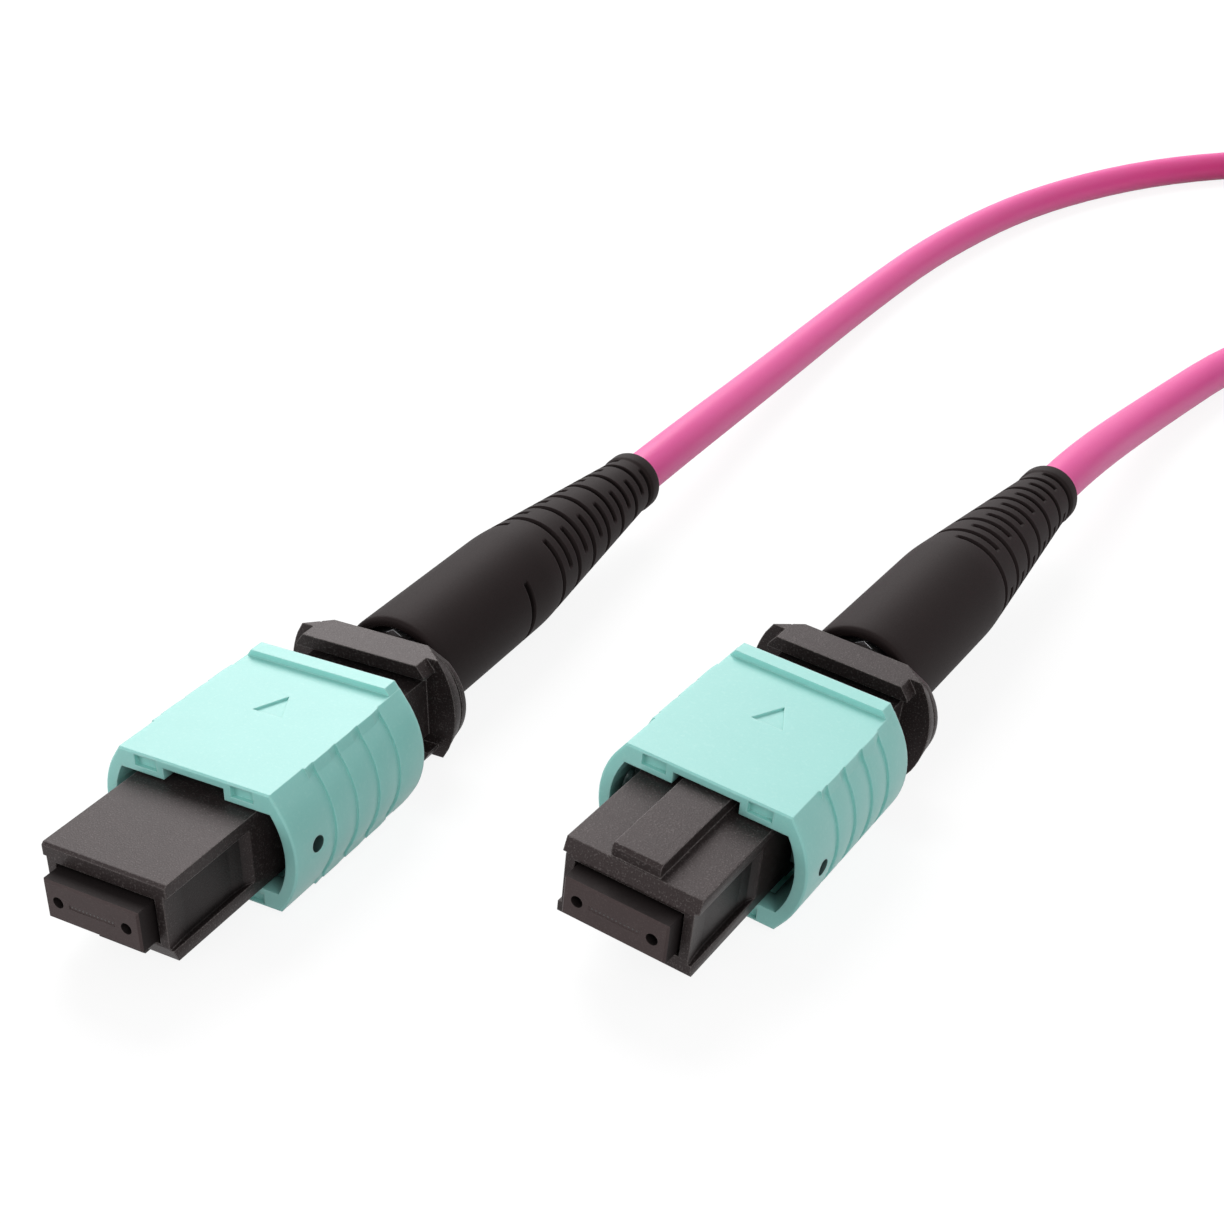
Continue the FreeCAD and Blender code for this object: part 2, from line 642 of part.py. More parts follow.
def sleeve_section(body, name, station, slant, notch=0.0, groove=0.0):
    """Outline of the sleeve with bevelled long edges, drawn in at the edges and at the bowed sides."""
    sketch = new_sketch(body, name, station=station)
    barrel(sketch, [(sleeve_edge_half - notch, s.sleeve_edge_height),
                    (sleeve_edge_half - slant - notch, s.sleeve_half_height)], sleeve_bulge_half - groove)
    return sketch


def grip_ramp(body, name, station):
    """The slope down to the foot of the next riser."""
    top = sleeve_section(body, name + "_top", station, s.grip_edge)
    foot = sleeve_section(body, name + "_foot", station + s.grip_ramp,
                          s.grip_edge, s.grip_notch, s.grip_depth)
    return loft(body, name, top, foot)


def make_coupling_sleeve(name):
    body = new_body(name)
    front = sleeve_section(body, "front", s.sleeve_front, s.sleeve_bevel)
    front_band = pad(body, "front_band", front, grip_start - s.sleeve_front)
    edges = edges_where(front_band, lambda p: close(p.z, s.sleeve_front))
    bevel(body, "mouth_bevel", front_band, edges, s.mouth_bevel)
    grip_ramp(body, "first_ramp", grip_start)
    land = pad(body, "land", sleeve_section(body, "land_outline", s.grip_first, s.grip_edge), grip_land)
    ramp = grip_ramp(body, "ramp", s.grip_first + grip_land)
    doc.recompute()
    row_of(body, "teeth", [land, ramp], s.grip_teeth, s.grip_pitch)
    doc.recompute()
    pad(body, "rear_band", sleeve_section(body, "rear", grip_last, s.sleeve_bevel), sleeve_rear - grip_last)
    lips = new_sketch(body, "lips", station=sleeve_rear - s.lip_length)
    barrel(lips, [(sleeve_edge_half, s.sleeve_edge_height), (lip_half, lip_top)], sleeve_bulge_half)
    pad(body, "rear_lips", lips, s.lip_length)
    opening = new_sketch(body, "opening", station=s.sleeve_front)
    barrel(opening, [(cavity_corner_half, pad_height)], sleeve_bulge_half - s.sleeve_wall)
    pocket(body, "long_opening", opening, s.sleeve_length)
    slots = new_sketch(body, "key_slots", station=s.sleeve_front)
    centred(slots, s.key_slot_half, slot_roof)
    pocket(body, "key_ways", slots, s.sleeve_length)
    recess = new_sketch(body, "recess", station=front_pad_rear)
    centred(recess, recess_half, slot_roof)
    pocket(body, "bump_recess", recess, rear_pad_front - front_pad_rear)
    peeps = new_sketch(body, "peeps", station=s.sleeve_front)
    both_sides(peeps, s.peep_inside, s.peep_outside, s.peep_low, s.peep_high)
    both_sides(peeps, s.peep_inside, s.peep_outside, -s.peep_high, -s.peep_low)
    pocket(body, "pad_recesses", peeps, s.peep_depth)
    holes = new_sketch(body, "side_holes", "YZ_Plane")
    circle(holes, s.side_hole_width / 2, 0.0, s.side_hole_station)
    cross_cut(body, "side_bores", holes, sleeve_bulge_half * 4)
    steps = new_sketch(body, "steps", station=s.step_front)
    both_sides(steps, step_inside, sleeve_bulge_half - s.sleeve_wall / 2, -(s.ear_height / 2),
               s.ear_height / 2)
    pad(body, "spring_steps", steps, s.step_length)
    for face, sign in (("top", 1.0), ("bottom", -1.0)):
        arrow = new_sketch(body, face + "_arrow", "XZ_Plane", -(s.sleeve_half_height * sign))
        polygon(arrow, [(-s.arrow_half_width, s.arrow_front), (s.arrow_half_width, s.arrow_front),
                        (0.0, s.arrow_front + s.arrow_length)])
        cross_cut(body, face + "_arrow_cut", arrow, s.arrow_depth * 2)
    return body


def plate_section(body, name, station, inset=0.0):
    """Outline of the flange plate: its corners are cut further in towards the rear."""
    sketch = new_sketch(body, name, station=station)
    cut = s.flange_cut * (as_size(station) - plate_front) / (flange_rear - plate_front)
    barrel(sketch, [(s.flange_edge_half - cut * EDGE_SHARE - inset, s.flange_edge_height),
                    (s.flange_flat_half - cut - inset, s.flange_half_height)], s.flange_bulge_half - inset)
    return sketch


def make_rear_body(name):
    body = new_body(name)
    block = new_sketch(body, "block", station=s.block_front)
    centred(block, block_half, block_half_height)
    pad(body, "block_bar", block, s.housing_length - s.block_front)
    hooks = new_sketch(body, "hooks", station=s.hook_front)
    both_sides(hooks, block_half, block_half + s.hook_reach, -(s.hook_height / 2), s.hook_height / 2)
    pad(body, "side_hooks", hooks, s.hook_length)
    neck = new_sketch(body, "neck", station=s.housing_length)
    centred(neck, s.neck_half_width, s.neck_half_height)
    pad(body, "neck_bar", neck, plate_front - s.housing_length)
    groove_rear = groove_front + s.flange_groove
    loft(body, "plate", plate_section(body, "plate_front", plate_front),
         plate_section(body, "plate_groove", groove_front))
    groove = plate_section(body, "groove", groove_front, s.flange_groove_depth)
    pad(body, "fine_groove", groove, s.flange_groove)
    loft(body, "rim", plate_section(body, "rim_groove", groove_rear),
         plate_section(body, "rim_rear", flange_rear))
    bars = new_sketch(body, "bars", station=flange_front)
    for sign in (1.0, -1.0):
        polygon(bars, [(-s.flange_bar_edge, s.flange_open * sign), (s.flange_bar_edge, s.flange_open * sign),
                       (s.flange_bar_edge, s.flange_edge_height * sign),
                       (s.flange_bar_half, s.flange_half_height * sign),
                       (-s.flange_bar_half, s.flange_half_height * sign),
                       (-s.flange_bar_edge, s.flange_edge_height * sign)])
    pad(body, "front_bars", bars, s.flange_bar)
    collar = new_sketch(body, "collar", station=flange_rear)
    circle(collar, s.stem_collar_radius)
    pad(body, "stem_collar", collar, s.boot_gap)
    stem = new_sketch(body, "stem", station=boot_front)
    circle(stem, s.stem_radius)
    pad(body, "crimp_stem", stem, stem_rear - boot_front)
    bore = new_sketch(body, "bore", station=s.block_front)
    circle(bore, s.fibre_bore_radius)
    pocket(body, "fibre_bore", bore, stem_rear - s.block_front)
    return body


def make_crimp_sleeve(name):
    body = new_body(name)
    ring = new_sketch(body, "ring", station=boot_front)
    step = FULL_TURN / HEXAGON_CORNERS
    polygon(ring, [polar(crimp_corner, step * (i + 0.5)) for i in range(HEXAGON_CORNERS)])
    circle(ring, crimp_bore)
    pad(body, "tube", ring, stem_rear - boot_front)
    return body


def make_strain_relief_boot(name):
    """A round front and end collar, and between them a taper of many flats that the bend slots cut."""
    body = new_body(name)
    front = new_sketch(body, "front_profile", "XZ_Plane")
    polygon(front, [(0.0, boot_front), (s.boot_radius - s.boot_edge, boot_front),
                    (s.boot_radius, boot_front + s.boot_edge), (s.boot_radius, boot_kink), (0.0, boot_kink)])
    revolve(body, "Revolution", "front_skin", front, FULL_TURN)
    loft(body, "taper", many_sided(body, "taper_front", boot_kink, s.boot_radius),
         many_sided(body, "taper_rear", boot_collar_start, s.boot_tail_radius))
    collar = new_sketch(body, "collar_profile", "XZ_Plane")
    polygon(collar, [(0.0, boot_collar_start), (s.boot_tail_radius, boot_collar_start),
                     (s.boot_collar_radius, boot_collar_start + s.boot_collar_edge),
                     (s.boot_collar_radius, boot_end - s.boot_collar_edge),
                     (s.boot_collar_radius - s.boot_collar_edge, boot_end), (0.0, boot_end)])
    revolve(body, "Revolution", "collar", collar, FULL_TURN)
    for turn, facing, first, count in (("even", 0.0, slot_first, s.slot_count_even),
                                       ("odd", 90.0, slot_first + s.slot_pitch, s.slot_count_odd)):
        cut = new_sketch(body, turn + "_slot", station=first - s.slot_width / 2)
        for side in (facing, facing + HALF_TURN):
            slot_outline(cut, side, s.slot_sweep_deg, s.slot_floor_radius)
        slot = pocket(body, turn + "_cut", cut, s.slot_width)
        doc.recompute()
        row_of(body, turn + "_slots", [slot], count, s.slot_pitch * 2)
        doc.recompute()
    notch = new_sketch(body, "notch", station=boot_kink - s.notch_lead - s.notch_width / 2)
    slot_outline(notch, 0.0, s.notch_sweep_deg, s.boot_radius - s.notch_depth)
    pocket(body, "side_notch", notch, s.notch_width)
    throat = new_sketch(body, "throat", station=stem_rear)
    circle(throat, boot_throat)
    pocket(body, "cord_throat", throat, boot_end - stem_rear)
    bore = new_sketch(body, "bore", station=boot_front)
    circle(bore, boot_bore)
    pocket(body, "crimp_bore", bore, stem_rear - boot_front)
    return body


def many_sided(body, name, station, radius):
    """A regular outline of many flats, inside the circle of that radius."""
    sketch = new_sketch(body, name, station=station)
    step = FULL_TURN / TAPER_SIDES
    polygon(sketch, [polar(radius, step * (i + 0.5)) for i in range(TAPER_SIDES)])
    return sketch


def slot_outline(sketch, facing, sweep, floor_radius):
    """A slot seen along the plug: a floor of three flats, open outwards."""
    sixth = sweep / 6
    corner = floor_radius.value / math.cos(math.radians(sixth.value))
    floor = Size(corner, "(%s / cos(%s * 1deg))" % (floor_radius.text, sixth.text))
    angles = [sixth * step + facing for step in (-3, -1, 1, 3)]
    inner = [polar(floor, angle) for angle in angles]
    outer = [polar(s.slot_top_radius, angle) for angle in reversed(angles)]
    polygon(sketch, inner + outer)


PIECES = (
    ("inner_housing", make_inner_housing),
    ("coupling_sleeve", make_coupling_sleeve),
    ("coupling_springs", make_coupling_springs),
    ("ferrule", make_ferrule),
    ("ferrule_boot", make_ferrule_boot),
    ("pin_spacer", make_pin_spacer),
    ("ferrule_spring", make_ferrule_spring),
    ("fibre_bundle", make_fibre_bundle),
    ("rear_body", make_rear_body),
    ("crimp_sleeve", make_crimp_sleeve),
)


# Places of the plugs on the table
def laid(x, y, height, yaw, roll):
    """Placement of a plug: its axis along the table, turned about it and then on the table."""
    upright = Rotation(Vector(0, 1, 1), HALF_TURN)
    about_axis = Rotation(Vector(0, 1, 0), roll)
    on_table = Rotation(Vector(0, 0, 1), yaw)
    return Placement(Vector(x.value, y.value, height), on_table * about_axis * upright)


rest_height = (s.sleeve_half_height + s.lip_height).value
lean = math.radians(s.right_lean_deg.value)
right_height = rest_height * math.cos(lean) + sleeve_flat_half.value * math.sin(lean)
left_yaw = s.left_yaw_deg.value
PLUGS = (
    ("left", laid(s.left_front_x, s.left_front_y, rest_height, left_yaw, HALF_TURN),
     laid(s.left_front_x, s.left_front_y, rest_height, left_yaw, -s.left_boot_phase_deg.value)),
    ("right", laid(s.right_front_x, s.right_front_y, right_height, 0.0, s.right_lean_deg.value),
     laid(s.right_front_x, s.right_front_y, right_height, 0.0,
          s.right_lean_deg.value - s.right_boot_phase_deg.value)),
)

nodes = []
for side, place, boot_place in PLUGS:
    for piece, make in PIECES:
        body = make(side + "_" + piece)
        body.Placement = place
        nodes.append(body)
    boot = make_strain_relief_boot(side + "_strain_relief_boot")
    boot.Placement = boot_place
    nodes.append(boot)
doc.recompute()


# Cord from plug to plug, with its spare length coiled and strapped
def tangent_wire(points):
    """Straight runs joined by tangent arcs; also gives the smallest arc radius and the length."""
    edges = []
    radii = []
    here = points[0]
    for before, corner, after in zip(points[:-2], points[1:-1], points[2:]):
        into = (corner - before).normalize()
        out = (after - corner).normalize()
        half_turn = into.getAngle(out) / 2
        reach = ARC_SHARE * min(before.distanceToPoint(corner), corner.distanceToPoint(after))
        radius = reach / math.tan(half_turn)
        start = corner - into * reach
        stop = corner + out * reach
        inward = (out - into).normalize()
        middle = corner + inward * (radius / math.cos(half_turn) - radius)
        edges.append(Part.LineSegment(here, start).toShape())
        edges.append(Part.Arc(start, middle, stop).toShape())
        radii.append(radius)
        here = stop
    edges.append(Part.LineSegment(here, points[-1]).toShape())
    return Part.Wire(edges), min(radii)


def many_sided_ring(centre, axis, radius):
    """The cord's section, a regular outline of many flats with one flat downwards."""
    along = Vector(axis).normalize()
    across = along.cross(Vector(0, 0, 1)).normalize()
    up = across.cross(along)
    corners = []
    for i in range(CORD_SIDES + 1):
        turn = 2 * math.pi * (i + 0.5) / CORD_SIDES
        corners.append(centre + across * (radius * math.cos(turn)) + up * (radius * math.sin(turn)))
    return Part.makePolygon(corners)


def cord_tube(name, points):
    spine, smallest = tangent_wire(points)
    radius = s.cord_radius.value
    section = Part.Face(many_sided_ring(points[0], points[1] - points[0], radius))
    tube = spine.makePipe(section)
    expected = section.Area * spine.Length
    if abs(tube.Volume - expected) > VOLUME_SHARE * expected:
        raise ValueError("%s has %.1f instead of %.1f cubic mm" % (name, tube.Volume, expected))
    item = doc.addObject("Part::Feature", name)
    item.Label = name
    item.Shape = tube
    nodes.append(item)
    print("%s: radius %.2f mm, length %.1f mm, smallest bend %.1f mm" % (
        name, radius, spine.Length, smallest))


def on_axis(place, station):
    return place.multVec(Vector(0, 0, station))


def clockwise_tangent(point, centre, radius):
    """Where a line from a point touches a circle on its right-hand side, seen from above."""
    away = centre - point
    distance = math.hypot(away.x, away.y)
    heading = math.atan2(away.y, away.x) - math.asin(radius / distance)
    reach = math.sqrt(distance * distance - radius * radius)
    return Vector(point.x + reach * math.cos(heading), point.y + reach * math.sin(heading), 0)


cord_z = s.cord_radius.value
low_turn_z = s.tie_thickness.value + cord_z
high_turn_z = coil_top.value - cord_z
coil_centre = Vector(s.coil_x.value, s.coil_y.value, 0)
outer_turn = coil_outer_turn.value
cord_start = stem_rear.value
boot_exit = (boot_end + s.cord_straight).value
left_place = PLUGS[0][1]
right_place = PLUGS[1][1]

LEFT_ROUTE = ((-19.3, 51.0, 2.7), (-22.2, 75.5, cord_z), (-23.2, 99.5, cord_z), (-20.5, 122.5, cord_z),
              (-11.5, 143.5, cord_z), (3.5, 156.5, cord_z))
back_of_coil = coil_centre + Vector(0, outer_turn, low_turn_z)
left_points = [on_axis(left_place, cord_start), on_axis(left_place, boot_exit)]
left_points += [Vector(*point) for point in LEFT_ROUTE]
left_points += [back_of_coil - Vector(s.coil_lead.value, 0, low_turn_z - cord_z), back_of_coil]
cord_tube("left_cable", left_points)

RIGHT_ROUTE = ((12.2, 63.5, 2.2), (14.6, 84.5, cord_z), (26.5, 101.5, 4.6))
right_points = [on_axis(right_place, cord_start), on_axis(right_place, boot_exit)]
right_points += [Vector(*point) for point in RIGHT_ROUTE]
right_points.append(clockwise_tangent(right_points[-1], coil_centre, outer_turn) + Vector(0, 0, high_turn_z))
cord_tube("right_cable", right_points)

coil = new_body("cable_coil")
coil_section = new_sketch(coil, "section", "XZ_Plane")
rectangle(coil_section, coil_hole, coil_rim, s.tie_thickness, coil_top)
revolve(coil, "Revolution", "ring", coil_section, FULL_TURN)
coil.Placement = Placement(coil_centre, Rotation())
nodes.append(coil)

tie = new_body("coil_tie")
strap = new_sketch(tie, "strap", "XZ_Plane")
reach_in = math.sqrt(coil_hole.value ** 2 - (s.tie_width.value / 2) ** 2)
strap_in = coil_hole - (coil_hole.value - reach_in) - s.tie_play
strap_out = coil_rim + s.tie_play
strap_top = coil_top + s.tie_play
rectangle(strap, strap_in, strap_out, s.tie_thickness, strap_top)
rectangle(strap, strap_in - s.tie_thickness, strap_out + s.tie_thickness, 0.0, strap_top + s.tie_thickness)
strap_band = feature(tie, "Pad", "band", strap)
strap_band.SideType = "Symmetric"
strap_band.setExpression("Length", s.tie_width.text)
tie.Placement = Placement(coil_centre, Rotation(Vector(0, 0, 1), s.tie_turn_deg.value))
nodes.append(tie)
doc.recompute()

# Checks and files
for item in doc.Objects:
    if "Invalid" in item.State or "Error" in item.State:
        raise ValueError("%s is in state %s" % (item.Name, item.State))
os.makedirs("parts", exist_ok=True)
for node in nodes:
    if node.Shape.isNull() or not node.Shape.isValid():
        raise ValueError("%s has no valid shape" % node.Label)
    node.Shape.exportStep("parts/%s.step" % node.Label)
    print("%-26s %9.2f cubic mm, %d solids" % (node.Label, node.Shape.Volume, len(node.Shape.Solids)))
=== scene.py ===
# %% [markdown]
# # A fibre trunk cable with two push-pull plugs
#
# The object is one magenta cord with a multi-fibre plug at each end. The solids come ready-made and
# measured, so this lesson only dresses them: it lays the soft cord, models the rubber, wire and strap
# that a solid gives too stiffly, and gives every surface its finish.

# %% Load the solids
import json
import math

import bmesh
import bpy
import numpy as np
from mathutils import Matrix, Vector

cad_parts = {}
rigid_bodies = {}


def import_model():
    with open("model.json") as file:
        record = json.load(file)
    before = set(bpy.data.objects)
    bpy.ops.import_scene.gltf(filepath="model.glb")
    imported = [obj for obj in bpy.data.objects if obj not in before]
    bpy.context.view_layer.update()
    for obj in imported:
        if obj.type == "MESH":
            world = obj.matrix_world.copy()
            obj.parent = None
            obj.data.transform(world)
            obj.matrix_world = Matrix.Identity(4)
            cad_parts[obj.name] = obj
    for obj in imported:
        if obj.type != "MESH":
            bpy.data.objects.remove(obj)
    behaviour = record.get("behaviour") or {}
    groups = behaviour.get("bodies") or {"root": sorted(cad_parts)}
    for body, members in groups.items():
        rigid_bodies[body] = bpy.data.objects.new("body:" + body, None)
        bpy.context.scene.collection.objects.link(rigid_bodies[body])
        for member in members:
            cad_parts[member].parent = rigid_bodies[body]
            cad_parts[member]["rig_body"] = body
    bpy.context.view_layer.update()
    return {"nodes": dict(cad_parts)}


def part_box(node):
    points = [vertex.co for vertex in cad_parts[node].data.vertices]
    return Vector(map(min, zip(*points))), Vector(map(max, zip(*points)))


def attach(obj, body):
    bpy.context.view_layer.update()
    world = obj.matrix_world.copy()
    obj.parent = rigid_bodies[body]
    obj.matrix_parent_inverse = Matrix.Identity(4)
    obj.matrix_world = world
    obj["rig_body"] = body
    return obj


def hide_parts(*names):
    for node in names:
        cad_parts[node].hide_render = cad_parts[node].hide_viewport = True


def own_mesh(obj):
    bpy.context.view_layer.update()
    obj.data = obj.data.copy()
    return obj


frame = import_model()
nodes = frame["nodes"]
MM = 0.001

# %% [markdown]
# The camera stands where the photographer stood: a little above the table, in front of the plugs and to
# their right, with a long lens. Everything that follows is judged through it, so it comes first.

# %% Camera
SENSOR_WIDTH, LENS_LENGTH, NEAREST = 36.0, 54.55, 1.0
CAMERA_PLACE = (53.345, -87.481, 64.680)
CAMERA_TILT, CAMERA_TURN = 61.17, 32.63
lens = bpy.data.cameras.new("photo_view")
lens.sensor_width = SENSOR_WIDTH
lens.lens = LENS_LENGTH
lens.clip_start = NEAREST * MM
camera = bpy.data.objects.new("photo_view", lens)
camera.location = [x * MM for x in CAMERA_PLACE]
camera.rotation_euler = (math.radians(CAMERA_TILT), 0.0, math.radians(CAMERA_TURN))
bpy.context.scene.collection.objects.link(camera)
bpy.context.scene.camera = camera
print("camera at", [round(x, 4) for x in camera.location])

# %% [markdown]
# The cord leaves one plug, drops to the table, swings out of the picture and comes back to the other
# plug. The points below are the same route that the solid tube follows. Used as control points of a
# smooth spline they give a line with no straight pieces, the way a jacketed cord really lies.

# %% Route of the cord on the table
LEFT_RUN = np.array([
    (-13.733, -1.752, 4.35), (-15.42, 19.18, 4.35), (-16.341, 30.634, 4.35), (-19.3, 51.0, 2.7),
    (-22.2, 75.5, 1.65), (-23.2, 99.5, 1.65), (-20.5, 122.5, 1.65), (-11.5, 143.5, 1.65),
    (3.5, 156.5, 1.65), (18.0, 161.9, 1.65)])
RIGHT_RUN = np.array([
    (35.2, 104.7, 11.4), (26.5, 101.5, 4.6), (14.6, 84.5, 1.65), (12.2, 63.5, 2.2),
    (12.55, 44.6, 4.87), (12.55, 33.1, 4.87), (12.55, 12.1, 4.87)])
print("route points:", len(LEFT_RUN), "and", len(RIGHT_RUN))

# %% [markdown]
# What the picture doesn't show is put away as a neat coil: five turns side by side and four layers. A
# person winding it lays one full turn, then steps over by one cord width, and climbs a layer when the
# row is full. So radius and height are step functions of the angle, softened into short ramps.

# %% Turns of the coil
CORD_RADIUS = 1.65
COIL_CENTRE = (34.0, 134.0)
TURN_RADII = np.array([27.9, 24.6, 21.3, 18.0, 14.7])
LAYER_HEIGHTS = np.array([2.45, 5.75, 9.05, 12.35])
RAMP = 1 / 14
STEP_LEAD, CLIMB_LEAD, LAYER_LEAD = 1.8, 2.8, 2
POINTS_PER_TURN = 28
LAST_TURN = 19.444


def coil_points():
    """Points along the winding: the angle runs evenly, and radius and height climb at set places.

    Each ramp starts a little earlier in the turn than the ramp it lies on, so no two cross. The leads
    say how early, counted in ramps.
    """
    turn_knots, radius_knots, height_knots = [0.0], [TURN_RADII[0]], [LAYER_HEIGHTS[0]]
    turn = 1.0
    for layer, height in enumerate(LAYER_HEIGHTS):
        inward = layer % 2 == 0
        for step in range(1, len(TURN_RADII)):
            here = TURN_RADII[step] if inward else TURN_RADII[len(TURN_RADII) - 1 - step]
            start = turn - RAMP * (STEP_LEAD + LAYER_LEAD * layer)
            turn_knots += [start, start + RAMP]
            radius_knots += [radius_knots[-1], here]
            height_knots += [height, height]
            turn += 1.0
        if layer + 1 < len(LAYER_HEIGHTS):
            start = turn - RAMP * (CLIMB_LEAD + LAYER_LEAD * layer)
            turn_knots += [start, start + RAMP]
            radius_knots += [radius_knots[-1]] * 2
            height_knots += [height, LAYER_HEIGHTS[layer + 1]]
            turn += 1.0
    turns = np.arange(0.0, LAST_TURN, 1 / POINTS_PER_TURN)
    radius = np.interp(turns, turn_knots, radius_knots) / math.cos(math.pi / POINTS_PER_TURN)
    height = np.interp(turns, turn_knots, height_knots)
    angle = math.pi / 2 - 2 * math.pi * turns
    return np.stack([COIL_CENTRE[0] + radius * np.cos(angle),
                     COIL_CENTRE[1] + radius * np.sin(angle), height], axis=1)


cord_line = np.concatenate([LEFT_RUN, coil_points(), RIGHT_RUN]) * MM
print("control points of the cord:", len(cord_line))

# %% [markdown]
# A curve object with a round bevel is the natural cord in Blender: the spline is its centre line. The
# order is set after the points are there, because an empty spline would fall back to straight runs. The
# bevel is one unit deep and each point carries the true radius, because Blender sizes a curve's box by that.

# %% The cord
cord_curve = bpy.data.curves.new("trunk_cord", "CURVE")
cord_curve.dimensions = "3D"
spline = cord_curve.splines.new("NURBS")
spline.points.add(len(cord_line) - 1)
spline.points.foreach_set("co", np.c_[cord_line, np.ones(len(cord_line))].astype(np.float32).ravel())
spline.points.foreach_set("radius", np.full(len(cord_line), CORD_RADIUS * MM, dtype=np.float32))
spline.order_u = 3
spline.use_endpoint_u = True
spline.use_smooth = True
cord_curve.resolution_u = 6
cord_curve.bevel_depth = 1.0
cord_curve.bevel_resolution = 8
cord_curve.use_fill_caps = True
cord = bpy.data.objects.new("trunk_cord", cord_curve)
bpy.context.scene.collection.objects.link(cord)
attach(cord, "cable_set")
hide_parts("left_cable", "right_cable", "cable_coil")
print("cord made, spline order", spline.order_u)

# %% [markdown]
# The other new pieces are all surfaces of two parameters on a grid of points. One helper turns such a
# grid into a closed skin: it joins each row to the next with quads, round on itself, and either joins the
# last row to the first or closes both ends round a pole. The sign of the volume that the skin holds tells
# whether its faces look outwards. Every object stays at the origin, with its place in its points.

# %% From a grid of points to a mesh


def surface(grid, ring):
    """Quads between neighbouring points of a grid of shape (rows, columns, 3), in millimetres.

    A ring joins its last row to its first. Other grids end in poles, each the mean of an end row, with
    quads that take the pole and three points of the row, so their number of columns is even. The volume is
    a sixth of the sum over the faces of middle times cross product of the diagonals.
    """
    rows, columns = grid.shape[:2]
    index = np.arange(rows * columns).reshape(rows, columns)
    index = np.concatenate([index, index[:, :1]], axis=1)
    points = grid.reshape(-1, 3)
    fans = []
    if ring:
        index = np.concatenate([index, index[:1]], axis=0)
    else:
        points = np.concatenate([points, grid[[0, -1]].mean(axis=1)])
        for pole, row in ((rows * columns, index[0, ::-1]), (rows * columns + 1, index[-1])):
            fans.append(np.stack([np.full(columns // 2, pole), row[:-1:2], row[1::2], row[2::2]], axis=-1))
    quads = np.stack([index[:-1, :-1], index[:-1, 1:], index[1:, 1:], index[1:, :-1]], axis=-1)
    quads = np.concatenate([quads.reshape(-1, 4), *fans])
    corners = points[quads]
    diagonals = np.cross(corners[:, 2] - corners[:, 0], corners[:, 3] - corners[:, 1])
    volume = (corners.mean(axis=1) * diagonals).sum() / 6
    return points, quads if volume > 0 else quads[:, ::-1]


def piece_of(name, parts):
    """One mesh object from several (points, quads) pairs, shaded smooth."""
    offsets = np.cumsum([0] + [len(points) for points, quads in parts[:-1]])
    points = np.concatenate([points for points, quads in parts]) * MM
    quads = np.concatenate([quads + offset for (_, quads), offset in zip(parts, offsets)])
    mesh = bpy.data.meshes.new(name)
    mesh.from_pydata(points, [], quads.tolist())
    mesh.polygons.foreach_set("use_smooth", np.ones(len(quads), dtype=bool))
    mesh.update()
    item = bpy.data.objects.new(name, mesh)
    bpy.context.scene.collection.objects.link(item)
    print(name, "has", len(points), "points and", len(quads), "quads")
    return item


# %% [markdown]
# Each plug is described along its own axis: x across, y up, z rearward from the front of its housing.
# A turn about that axis, a turn on the table and a shift then carry it to where the solids lie. The left
# plug lies key down, the right one leans a little on one edge of its sleeve.

# %% Where the plugs lie
PLUGS = {
    "left": {"front": (-10.96, -36.14, 4.35), "yaw": 4.61, "roll": 180.0, "boot_roll": -168.0},
    "right": {"front": (12.55, -22.4, 4.8697), "yaw": 0.0, "roll": 6.0, "boot_roll": -27.0},
}
FERRULE_TIP = -1.2


def plug_turn(side, roll_name):
    """The turn from a plug's own axes to the table's: swap axes, roll about the plug, turn on the table."""
    roll = math.radians(PLUGS[side][roll_name])
    yaw = math.radians(PLUGS[side]["yaw"])
    upright = np.array([(-1, 0, 0), (0, 0, 1), (0, 1, 0)], dtype=float)
    about_axis = np.array([(math.cos(roll), 0, math.sin(roll)), (0, 1, 0),
                           (-math.sin(roll), 0, math.cos(roll))])
    on_table = np.array([(math.cos(yaw), -math.sin(yaw), 0),
                         (math.sin(yaw), math.cos(yaw), 0), (0, 0, 1)])
    return on_table @ about_axis @ upright


def laid(side, points, roll_name="roll"):
    """Points along a plug's own axes, carried to the table: turned, then shifted to its front."""
    return np.asarray(points) @ plug_turn(side, roll_name).T + np.array(PLUGS[side]["front"])


def along_plug(side, points):
    """The way back: points on the table, given along the plug's own axes."""
    return (np.asarray(points) - np.array(PLUGS[side]["front"])) @ plug_turn(side, "roll")


for side in PLUGS:
    low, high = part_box(side + "_ferrule")
    tip = laid(side, [(0, 0, FERRULE_TIP)])[0]
    print(side, "ferrule tip", tip.round(2), "painted_shade", [round(v / MM, 2) for v in (*low, *high)])

# %% [markdown]
# The strain relief is moulded in soft rubber: a plain barrel with one notch in its side, a long taper with
# narrow slots cut from four sides in turn so that it bends evenly, and a small collar at the end. It is
# one closed surface: radius as a function of station and angle, outside and back through the bore. A slot
# lowers the radius through two smooth steps, one along the plug and one round it, so its edges are rounded.

